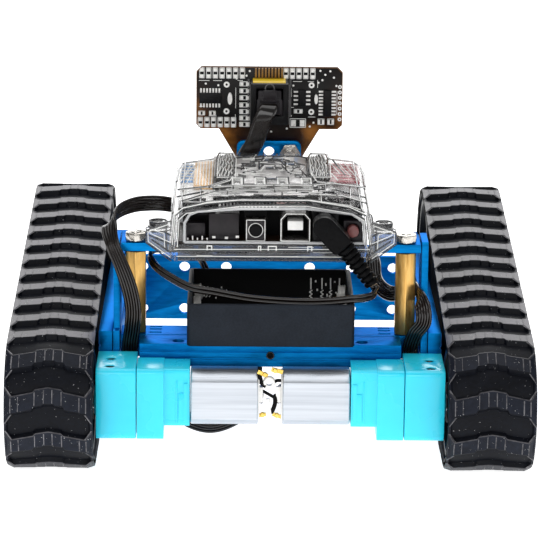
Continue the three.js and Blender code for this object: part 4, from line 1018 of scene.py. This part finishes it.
# side walls of the window well and long edges of the lid
tubes("case_long_edges", [[(sg * x, -61, z), (sg * x, 29, z2)] for sg in (-1, 1) for x, z, z2 in ((34.2, 86.6, 85.6), (35.0, 83.0, 82.6), (35.1, 79.9, 79.9), (31.4, 88.2, 86.9), (33.9, 72.6, 72.6))], 0.3, "clear_dark")
LID = [
    [(-20.0, -21.8, 90.7), (-19.9, 15.8, 89.1), (-19.0, 28.7, 88.6), (-14.1, 27.9, 88.6), (-13.2, 16.2, 89.1), (-13.4, -21.5, 90.7), (-20.0, -21.8, 90.7)],
    [(14.1, -20.2, 90.7), (14.1, 17.5, 89.0), (15.5, 29.4, 88.5), (21.2, 28.6, 88.5), (21.7, 17.8, 89.0), (21.0, -19.9, 90.6), (14.1, -20.2, 90.7)],
    [(-12.8, 17.2, 89.1), (-8.2, 22.3, 88.8), (11.3, 23.2, 88.8), (14.1, 18.4, 89.0)],
    [(-9.9, -12.1, 90.3), (-4.1, -7.2, 90.1), (-2.8, 3.2, 89.6), (4.3, 3.5, 89.6), (6.5, -11.4, 90.3), (10.6, -13.5, 90.4)],
    [(-7.4, 10.6, 89.3), (9.4, 11.4, 89.3)], [(-4.1, -7.2, 90.1), (-4.0, 10.8, 89.3)], [(5.8, -6.8, 90.1), (5.7, 11.3, 89.3)],
    [(-22.2, -41.7, 91.5), (-14.6, -38.5, 91.4), (0.9, -36.9, 91.4), (13.4, -36.4, 91.3), (22.3, -30.6, 91.0)],
    [(-21.3, -51.9, 91.9), (-14.6, -47.3, 91.8), (0.9, -45.7, 91.7), (13.4, -44.3, 91.7)],
    [(13.9, -11.0, 90.3), (15.9, -29.2, 91.0), (21.9, -32.5, 91.2), (33.2, -22.7, 87.6)],
    [(-13.1, -12.3, 90.3), (-15.5, -28.3, 91.0), (-22.2, -40.3, 91.5), (-33.2, -30.1, 87.9)],
    [(-34.0, -13.3, 87.0), (-33.6, 9.4, 86.4), (-32.6, 21.3, 86.1), (-20.8, 15.8, 89.1)],
    [(22.1, 18.0, 89.0), (30.8, 24.8, 86.6), (33.2, 21.5, 85.9), (34.5, -0.2, 86.3), (34.3, -18.7, 86.9)],
    [(-31.6, -7.6, 87.4), (-29.2, 16.1, 87.1)], [(-33.1, -16.9, 87.0), (-28.2, 10.8, 87.6)], [(-30.3, -20.9, 88.3), (-27.3, 4.6, 88.1)],
    [(22.7, 9.3, 89.0), (25.5, -7.4, 89.0)], [(25.4, 16.1, 88.1), (29.6, -7.8, 88.0)], [(28.0, 17.9, 87.3), (32.1, -8.6, 87.3)],
    [(30.5, 17.1, 86.7), (33.6, -13.1, 86.9)], [(21.4, -6.0, 89.9), (24.2, -23.2, 90.1)], [(23.4, 18.4, 88.7), (27.4, -7.0, 88.6)],
]
LID += [
    [(-31.6, -49, 88.0), (-22.4, -51.5, 91.5), (-11.0, -54.2, 91.9)], [(13.0, -53.6, 91.9), (24.0, -50.5, 91.0), (32.4, -46, 87.6)],
    [(-32.4, -57.6, 87.2), (-23.0, -59.2, 90.3), (-11.2, -60.2, 91.4), (13.0, -60.2, 91.4), (26.6, -59.0, 89.3), (32.6, -57.2, 86.6)],
    [(16.6, -59.5, 91.0), (16.9, -38, 91.2)], [(19.0, -58, 90.8), (19.4, -34, 91.0)], [(27.6, -60, 88.6), (28.6, -26, 88.6)], [(-24.6, -60, 89.6), (-25.0, -34, 90.0)],
    [(-33.4, -36, 86.6), (-24, -44, 90.4)], [(20.4, -40, 91.2), (33.8, -34, 86.4)], [(21.4, -47, 91.2), (33.9, -42, 86.2)], [(-13.4, -43.0, 91.5), (-13.6, -38.2, 91.4)], [(1.0, -43, 91.5), (1.0, -38, 91.4)],
]
tubes("case_lid_lines", LID[:13] + LID[21:], 0.34, "clear_dark")
tubes("case_label_glints", LID[13:21], 0.2, "silk")
tubes("case_lid_glints", [[(x + 0.75, y - 0.9, z + 0.08) for x, y, z in ln] for ln in LID[:2] + LID[3:4] + LID[7:13] + LID[22:26]], 0.2, "silk")
# painted highlights: white rims round the four light wells in the clear lid
bm = bmesh.new()
for x0 in (-13.9, -5.8, 2.3, 10.8):
    for a, b, c, d in ((0, 3.8, -22.6, -22.0), (0, 3.8, -36.4, -35.8), (0, 0.45, -36.4, -22), (3.35, 3.8, -36.4, -22)):
        add_prism(bm, [(c, top_z(c) - 0.6), (d, top_z(d) - 0.6), (d, top_z(d) + 0.12), (c, top_z(c) + 0.12)], "x", x0 + a, x0 + b)
finish_piece(to_obj(bm, "case_light_well_glints"), "silk", bevel=0.12)
# wavy ridges moulded into the lid, in painted shade and painted highlights in turn
for nm, mt, ph, r in (("dark", "clear_dark", 0.0, 0.36), ("pale", "silk", 0.62, 0.22)):
    ridges = []
    for x0, x1 in ((-19.4, -13.9), (14.7, 21.0)):
        n = 5
        for q in range(n):
            x = x0 + (q + 0.25 + ph * 0.8) * (x1 - x0) / n
            ridges.append([(x + 0.42 * math.sin(k * 2.1 + q * 1.3 + ph), -20 + k * 5.2, top_z(-20 + k * 5.2) - 0.35 + 0.3 * math.cos(k * 1.7 + q)) for k in range(10)])
    tubes(f"case_lid_ridges_{nm}", ridges, r, mt)
bm = bmesh.new()
for x0, x1 in ((-19.8, -13.5), (14.3, 21.4)):
    for k in range(12):
        y = -20 + k * 4.0
        xo = x0 + (x1 - x0) * (0.5 + 0.42 * math.sin(k * 2.7))
        add_box(bm, xo - 1.2, xo + 1.2, y, y + 2.4, 86.4, top_z(y) - 0.9)
finish_piece(to_obj(bm, "case_lid_prisms"), "clear_dark", bevel=0.2)
bm = bmesh.new()
add_box(bm, -21, 21, 27.0, 28.2, 76.6, 87.6)
add_box(bm, -12.4, 13.4, -18, 26.5, 87.3, 87.7)
add_prism(bm, [(-22, -41), (-14.6, -38.2), (13.4, -36.2), (22, -31), (22, -34), (13.4, -42.4), (-14.6, -44.6), (-22, -46)], "z", 89.0, 89.3)
finish_piece(to_obj(bm, "case_frosted_panels"), "frost", bevel=0.15)
# bright rims of the two sockets: painted highlights on their pressed metal edges
tubes("usb_socket_rim_glint", [[(3.4, -61.75, 77.1), (3.4, -61.75, 84.8), (5.2, -61.75, 86.8), (11.6, -61.75, 86.8), (13.4, -61.75, 84.8), (13.4, -61.75, 77.1)]], 0.2, "silk", closed=True)
tubes("reset_switch_rim_glint", [[(-8.6, -60.95, 76.9), (-8.6, -60.95, 84.3), (-2.2, -60.95, 84.3), (-2.2, -60.95, 76.9)], [(-5.4 + 2.45 * math.cos(q * pi / 12), -60.95, 80.7 + 2.45 * math.sin(q * pi / 12)) for q in range(24)]], 0.17, "silk", closed=True)
# small moulded webs and bosses on the inside of the lid: the dark ones painted shade where they are seen edge on, the
# pale ones painted highlights
dark, pale = [], []
for k in range(46):
    x = -12.0 + 24.5 * ((k * 0.6180339) % 1.0)
    y = -17.5 + 42.0 * ((k * 0.3819660 + 0.13 * (k % 5)) % 1.0)
    a = 0.5 * math.sin(k * 1.9) + (pi / 2 if k % 3 == 0 else 0.0)
    n = 1.2 + 1.5 * abs(math.sin(k * 0.83))
    e = [(x + q * n * math.cos(a), y + q * 2.6 * n * math.sin(a), top_z(y + q * 2.6 * n * math.sin(a)) + 0.02) for q in (-1, 0.1, 1)]
    (dark if k % 2 else pale).append(e)
for k in range(34):
    x = -22.5 + 46.0 * ((k * 0.6180339 + 0.21) % 1.0)
    y = -57.5 + 17.0 * ((k * 0.4142136) % 1.0)
    if y < -20 and abs(x) < 24.5:
        n = 0.9 + 1.6 * abs(math.sin(k * 1.31))
        sl = 0.25 * math.sin(k * 2.3)
        e = [(x - n, y - sl, top_z(y - sl) + 0.02), (x + n, y + sl, top_z(y + sl) + 0.02)] if k % 4 else [(x, y - 1.9, top_z(y - 1.9) + 0.02), (x, y + 1.9, top_z(y + 1.9) + 0.02)]
        (pale if k % 2 else dark).append(e)
tubes("case_inner_webs_dark", dark, 0.3, "clear_dark")
tubes("case_inner_webs_pale", pale, 0.2, "silk")
bm = bmesh.new()
for x0, x1, y0, y1 in ((-10.8, -5.2, 8.5, 14.5), (5.8, 11.2, 9.5, 14.0), (-2.2, 3.6, -16.5, -10.5), (-11.8, -8.8, -9.5, -4.5), (8.9, 12.2, -8.0, -1.5), (-3.2, 4.2, 17.5, 20.5), (-1.6, 2.9, 4.8, 7.6)):
    add_box(bm, x0, x1, y0, y1, 87.75, 88.0)
finish_piece(to_obj(bm, "case_inner_shadows"), "smoke", bevel=0.1)
bm = bmesh.new()
for x0 in (-13.9, -5.8, 2.3, 10.8):
    add_prism(bm, [(-35.4, top_z(-35.4) - 0.5), (-23, top_z(-23) - 0.5), (-23, top_z(-23) - 0.2), (-35.4, top_z(-35.4) - 0.2)], "x", x0 + 0.9, x0 + 2.9)
finish_piece(to_obj(bm, "case_light_well_floors"), "ear", bevel=0.1)
tubes("case_light_well_shadows", [[(x0 + 4.15, -37.2, top_z(-37.2) + 0.1), (x0 + 4.15, -21.6, top_z(-21.6) + 0.1), (x0 - 0.3, -21.4, top_z(-21.4) + 0.1)] for x0 in (-13.9, -5.8, 2.3, 10.8)], 0.3, "clear_dark")
# ears: bosses and webs
for sd, sg in (("left", -1), ("right", 1)):
    bm = bmesh.new()
    add_lathe(bm, [(1.7, 79.5), (3.3, 79.5), (3.3, 81.3), (2.9, 81.7), (1.7, 81.7)], "z", (sg * 39.6, -52.5), 36)
    finish_piece(to_obj(bm, f"{sd}_ear_boss"), "clear_dark", angle=50)
    bm = bmesh.new()
    add_lathe(bm, [(0, 79.6), (1.5, 79.6), (1.5, 80.9), (1.2, 81.3), (0, 81.3)], "z", (sg * 39.6, -52.5), 28)
    finish_piece(to_obj(bm, f"{sd}_ear_screw"), "steel", bevel=0.1)
    bm = bmesh.new()
    add_prism(bm, [(sg * 34.6, 70.2), (sg * 34.6, 84.0), (sg * 37.0, 83.4), (sg * 43.2, 80.6), (sg * 43.6, 76.3)], "y", -61.9, -61.35)
    finish_piece(to_obj(bm, f"{sd}_ear_web"), "ear", bevel=0.12, edge_mat="clear_edge")
    tubes(f"{sd}_ear_rings", [[(sg * 39.6 + r * math.cos(q * pi / 16), -52.5 + r * math.sin(q * pi / 16), z) for q in range(32)] for r, z in ((3.5, 79.7), (3.1, 81.75), (4.4, 78.9))], 0.25, "clear_dark", closed=True)
    tubes(f"{sd}_ear_web_lines", [[(sg * 34.8, -61.9, 69.6), (sg * 43.6, -61.9, 76.2), (sg * 43.4, -61.9, 80.6), (sg * 37, -61.9, 83.4), (sg * 35, -61.9, 84)], [(sg * 35.0, -61.9, 72.6), (sg * 41.8, -61.9, 77.4)], [(sg * 35.0, -61.9, 78.8), (sg * 37.6, -61.9, 80.2), (sg * 41.6, -61.9, 80.0)], [(sg * 36.4, -61.9, 74.0), (sg * 36.6, -61.9, 82.6)], [(sg * 35.0, -61.9, 75.6), (sg * 43.0, -61.9, 79.0)]], 0.28, "clear_dark")
    tubes(f"{sd}_ear_web_glints", [[(sg * 35.2, -62.1, 71.0), (sg * 42.8, -62.1, 76.6), (sg * 42.9, -62.1, 80.0)], [(sg * 35.2, -62.1, 76.4), (sg * 42.2, -62.1, 79.6)], [(sg * 35.4, -62.1, 82.9), (sg * 42.4, -62.1, 80.4)], [(sg * 37.1, -62.1, 74.6), (sg * 37.3, -62.1, 79.6), (sg * 40.6, -62.1, 80.6)]], 0.15, "silk")
from_node("dc_plug", "dc_plug_visual", "plug", bevel=1.0, seg=4)
slant = math.atan2(77.2 - 84.0, 24.6 - 18.3)
pa = np.array([18.3 + 10.4 * math.cos(slant), -67.0, 84.0 + 10.4 * math.sin(slant)])
pb = np.array([35.5, -67.0, 63.0])
bm = bmesh.new()
ln, R = [], []
for k in range(8):
    t0 = k / 8
    wide = 3.4 - 0.8 * t0
    for q, rr in ((0.02, wide - 0.95), (0.12, wide - 0.95), (0.2, wide - 0.12), (0.3, wide), (0.7, wide - 0.08), (0.8, wide - 0.2), (0.9, wide - 0.95)):
        ln.append(pa + (pb - pa) * (t0 + q / 8)); R.append(rr)
T, N, B = frames_of(np.array(ln))
add_tube(bm, np.array(ln), N, B, R, 28)
finish_piece(to_obj(bm, "plug_strain_relief_visual"), "plug", replaces="plug_strain_relief", angle=40)

# ------------------------------------------------------------------ sensor
bm = bmesh.new()
add_prism(bm, rrect(-12.3, 12.3, 46.9, 89.2, 2.4), "y", 48.7, 50.7)
add_box(bm, -12.3, 12.3, 41, 50, 46.9, 49.0)
o = to_obj(bm, "sensor_mast_visual")
drill(o, [("y", x, 84.8, 2.05, 46, 52) for x in (-8, 0, 8)] + [("y", x, 64.8, 2.05, 46, 52) for x in (-8, 8)] + [("z", x, 44, 2.05, 45, 50.5) for x in (-8, 8)])
finish_piece(o, "blue", bevel=0.3, replaces="sensor_mast")
bm = bmesh.new()
pts = [(-28, 95), (-26.3, 93.4), (-19.3, 93.4), (-12.3, 81.6), (12.3, 81.6), (19.3, 93.4), (26.3, 93.4), (28, 95), (28, 115.6), (26, 117.6), (-26, 117.6), (-28, 115.6)]
add_prism(bm, pts, "y", 51.0, 52.6)
o = to_obj(bm, "sensor_board_visual")
drill(o, [("y", x, 84.8, 2.05, 50, 54) for x in (-8, 0, 8)])
finish_piece(o, "sensor_pcb", bevel=0.1, replaces="sensor_board")
# brown rim where the light comes through the board
tubes("sensor_board_rim", [[(x * 0.996, 51.0, 81.9 if z < 82 else z + (0.2 if z < 96 else -0.2)) for x, z in pts]], 0.16, "pcb_edge", closed=True)
F = 51.0


def chip(bm, x0, x1, z0, z1, h, mat=0):
    add_box(bm, x0, x1, F - h, F + 0.05, z0, z1, mat)


# two-terminal parts: bright ends, dark or pale body
ends, bodies, outlines = bmesh.new(), bmesh.new(), bmesh.new()


def part(x, z, w, h, vertical=True):
    t = 0.24
    for a0, a1, b0, b1 in ((x - w / 2, x + w / 2, z - h / 2, z - h / 2 + t), (x - w / 2, x + w / 2, z + h / 2 - t, z + h / 2), (x - w / 2, x - w / 2 + t, z - h / 2, z + h / 2), (x + w / 2 - t, x + w / 2, z - h / 2, z + h / 2)):
        chip(outlines, a0, a1, b0, b1, 0.06)
    if vertical:
        for zz in (z - h * 0.27, z + h * 0.27):
            chip(ends, x - w * 0.34, x + w * 0.34, zz - h * 0.15, zz + h * 0.15, 0.62)
        chip(bodies, x - w * 0.30, x + w * 0.30, z - h * 0.14, z + h * 0.14, 0.58)
    else:
        for xx in (x - w * 0.27, x + w * 0.27):
            chip(ends, xx - w * 0.15, xx + w * 0.15, z - h * 0.34, z + h * 0.34, 0.62)
        chip(bodies, x - w * 0.17, x + w * 0.17, z - h * 0.3, z + h * 0.3, 0.58)


for k in range(7):
    part(-25.9 + 2.58 * k, 115.1, 2.0, 4.3)
for x in (6.2, 8.7, 11.2, 13.8, 16.5):
    part(x, 115.1, 2.0, 4.3)
for k in range(6):
    part(-26.4 + 2.54 * k, 95.9, 2.0, 4.0)
for z in (110.9, 108.2, 105.5, 102.7, 100.1, 97.6, 95.1):
    part(-9.5, z, 4.0, 1.9, False)
for x, z, w, h, v in ((11.1, 100.4, 3.4, 1.7, False), (19.9, 96.4, 2.6, 2.4, False), (23.6, 96.4, 2.6, 2.4, False), (-25.9, 99.4, 2.6, 1.8, False), (-21.8, 99.4, 2.6, 1.8, False), (11.0, 95.8, 6.2, 3.6, False)):
    part(x, z, w, h, v)
# integrated circuits
for x0, x1, z0, z1, n, vert in ((-26.8, -18.6, 103.4, 107.4, 7, True), (11.0, 14.0, 102.4, 108.8, 4, False), (20.6, 23.8, 98.6, 108.8, 8, False)):
    chip(bodies, x0, x1, z0, z1, 1.3)
    for k in range(n):
        if vert:
            x = x0 + (k + 0.5) * (x1 - x0) / n
            for a, b in ((z1, z1 + 1.7), (z0 - 1.7, z0)):
                chip(ends, x - 0.34, x + 0.34, a, b, 0.35)
        else:
            z = z0 + (k + 0.5) * (z1 - z0) / n
            for a, b in ((x0 - 1.7, x0), (x1, x1 + 1.7)):
                chip(ends, a, b, z - 0.34, z + 0.34, 0.35)
for x, z, r in ((-16.4, 110.6, 1.15), (-16.4, 100.2, 1.15), (16.1, 110.6, 1.15), (16.1, 100.2, 1.15)):
    add_lathe(ends, [(0.45, F - 0.3), (r, F - 0.3), (r, F), (0.45, F)], "y", (x, z), 24)
add_prism(ends, [(-15.1 + 0.9 * math.cos(a * pi / 10), 105.3 + 2.3 * math.sin(a * pi / 10)) for a in range(20)], "y", F - 1.4, F)
add_prism(ends, [(17.9 + 0.7 * math.cos(a * pi / 10), 105.3 + 1.9 * math.sin(a * pi / 10)) for a in range(20)], "y", F - 1.2, F)
for k in range(7):
    add_lathe(ends, [(0.3, F - 0.25), (0.75, F - 0.25), (0.75, F), (0.3, F)], "y", (27.0, 97.4 + k * 2.1), 16)
for x, z in ((19.4, 116.2), (21.3, 114.7), (23.2, 116.1), (24.6, 113.6), (20.2, 112.6), (-7.6, 115.9), (-8.8, 114.1), (18.7, 111.6), (25.6, 110.4), (9.1, 110.4), (7.8, 104.5), (8.2, 98.6), (-12.6, 113.0), (-19.6, 110.3), (-24.4, 110.9), (17.0, 96.0), (15.6, 93.9 + 0.6), (6.8, 93.6), (-6.0, 93.4), (0.8, 92.4), (2.6, 95.6)):
    add_lathe(ends, [(0, F - 0.2), (0.42, F - 0.2), (0.42, F), (0, F)], "y", (x, z), 12)
# short printed lines between the parts
for x0, x1, z in ((-27.0, -23.0, 112.1), (-21.6, -18.2, 112.1), (-12.2, -10.2, 112.2), (9.0, 12.4, 112.0), (14.6, 17.0, 112.0), (-27, -25, 102.0), (-13.6, -12.6, 96.4), (14.9, 17.6, 98.2), (8.2, 9.4, 101.9), (-23.2, -20.2, 97.9 + 0.4)):
    chip(outlines, x0, x1, z - 0.1, z + 0.1, 0.06)
for x, z0, z1 in ((-13.0, 94.4, 99.0), (-12.9, 101.4, 109.4), (18.4, 109.6, 112.6), (25.9, 99.2, 108.4), (8.4, 106.0, 109.4)):
    chip(outlines, x - 0.1, x + 0.1, z0, z1, 0.06)
finish_piece(to_obj(ends, "sensor_board_contacts"), "tin", bevel=0.06, seg=1)
finish_piece(to_obj(bodies, "sensor_board_chips"), "black", bevel=0.12)
finish_piece(to_obj(outlines, "sensor_board_outlines"), "silk")
bm = bmesh.new()
add_box(bm, -6.4, 6.1, 42.0, 51.0, 111.7, 113.3)
finish_piece(to_obj(bm, "socket_yellow_band"), "yellow", bevel=0.15)
bm = bmesh.new()
for k in range(9):
    add_box(bm, -5.6 + k * 1.25, -4.9 + k * 1.25, 49.6, 51.0, 113.4, 117.2)
finish_piece(to_obj(bm, "socket_solder_row"), "amber", bevel=0.1)
for sd in ("left", "right"):
    sx = -15 if sd == "left" else 15
    bm = bmesh.new()
    add_lathe(bm, [(0, 52.9), (8, 52.9), (8, 65.0), (7.7, 65.4), (6.9, 65.4), (6.5, 65.0), (6.5, 64.2), (0, 64.2)], "y", (sx, 105.4), 72)
    finish_piece(to_obj(bm, f"sensor_eye_{sd}_visual"), "steel", replaces=f"sensor_eye_{sd}", angle=40)
    bm = bmesh.new()
    for k in range(-5, 6):
        h = math.sqrt(max(0.1, 6.3 ** 2 - (k * 1.15) ** 2))
        add_box(bm, sx + k * 1.15 - 0.14, sx + k * 1.15 + 0.14, 64.2, 64.75, 105.4 - h, 105.4 + h)
        add_box(bm, sx - h, sx + h, 64.25, 64.7, 105.4 + k * 1.15 - 0.14, 105.4 + k * 1.15 + 0.14)
    finish_piece(to_obj(bm, f"sensor_eye_{sd}_mesh"), "grey")
from_node("sensor_screw_left", "sensor_screw_left_visual", "nickel", bevel=0.3, seg=3)
from_node("sensor_screw_right", "sensor_screw_right_visual", "nickel", bevel=0.3, seg=3)
from_node("sensor_socket", "sensor_socket_visual", "black", bevel=0.3)
from_node("sensor_plug", "sensor_plug_visual", "dark_grey", bevel=0.4)
bm = bmesh.new()
add_box(bm, -2.6, 2.6, 38.4, 39.4, 107.2, 111.0)
add_box(bm, -3.8, 3.8, 38.6, 39.6, 105.9, 108.2)
add_box(bm, -4.9, -3.9, 38.9, 39.7, 101.0, 107.2)
add_box(bm, 3.9, 4.9, 38.9, 39.7, 101.0, 107.2)
finish_piece(to_obj(bm, "sensor_plug_clip"), "dark_grey", bevel=0.3)
bm = bmesh.new()
add_lathe(bm, [(1.5, 39.5), (1.9, 39.5), (1.9, 39.3), (1.5, 39.3)], "y", (0, 111.4), 24)
add_box(bm, 7.25, 7.45, 39.6, 39.9, 97.6, 112.8)
add_box(bm, -7.45, -7.25, 39.6, 39.9, 97.6, 112.8)
add_box(bm, 7.6, 8.4, 50.6, 51, 98.2, 112.8)
add_box(bm, -8.4, -7.6, 50.6, 51, 98.2, 112.8)
finish_piece(to_obj(bm, "socket_glints"), "grey")

# ------------------------------------------------------------------ floor and light
fm, nt, b = new_mat("floor_white")
b.inputs["Base Color"].default_value = (0.8, 0.8, 0.8, 1)
b.inputs["Roughness"].default_value = 0.9
b.inputs["Specular IOR Level"].default_value = 0.0
b.inputs["Emission Color"].default_value = (1, 1, 1, 1)
b.inputs["Emission Strength"].default_value = 0.95
bm = bmesh.new()
bmesh.ops.create_grid(bm, x_segments=1, y_segments=1, size=6)
floor = to_obj(bm, "floor")
floor.data.materials.append(fm)

world = bpy.data.worlds.new("world")
scene.world = world
world.use_nodes = True
bg = world.node_tree.nodes["Background"]
bg.inputs[0].default_value = (1, 1, 1, 1)
bg.inputs[1].default_value = 0.34


def area(name, loc, aim, size, size_y, radiance, colour=(1, 1, 1)):
    d = bpy.data.lights.new(name, "AREA")
    d.shape, d.size, d.size_y, d.color = "RECTANGLE", size, size_y, colour
    d.energy = radiance * size * size_y * pi
    o = bpy.data.objects.new(name, d)
    COL.objects.link(o)
    o.location = loc
    o.rotation_mode = "QUATERNION"
    o.rotation_quaternion = (Vector(aim) - Vector(loc)).to_track_quat("-Z", "Y")
    return o


area("back_softbox", (0.0, 1.6, 0.85), (0, 0, 0.06), 2.6, 1.1, 2.9)
area("top_softbox", (0.0, 0.1, 1.5), (0, 0, 0.05), 1.6, 1.2, 1.5)
area("front_softbox", (-0.4, -2.0, 0.9), (0, 0, 0.05), 1.8, 0.9, 2.6)
area("right_softbox", (1.6, -0.9, 0.5), (0, 0, 0.05), 0.7, 0.8, 0.8)

bpy.context.view_layer.update()
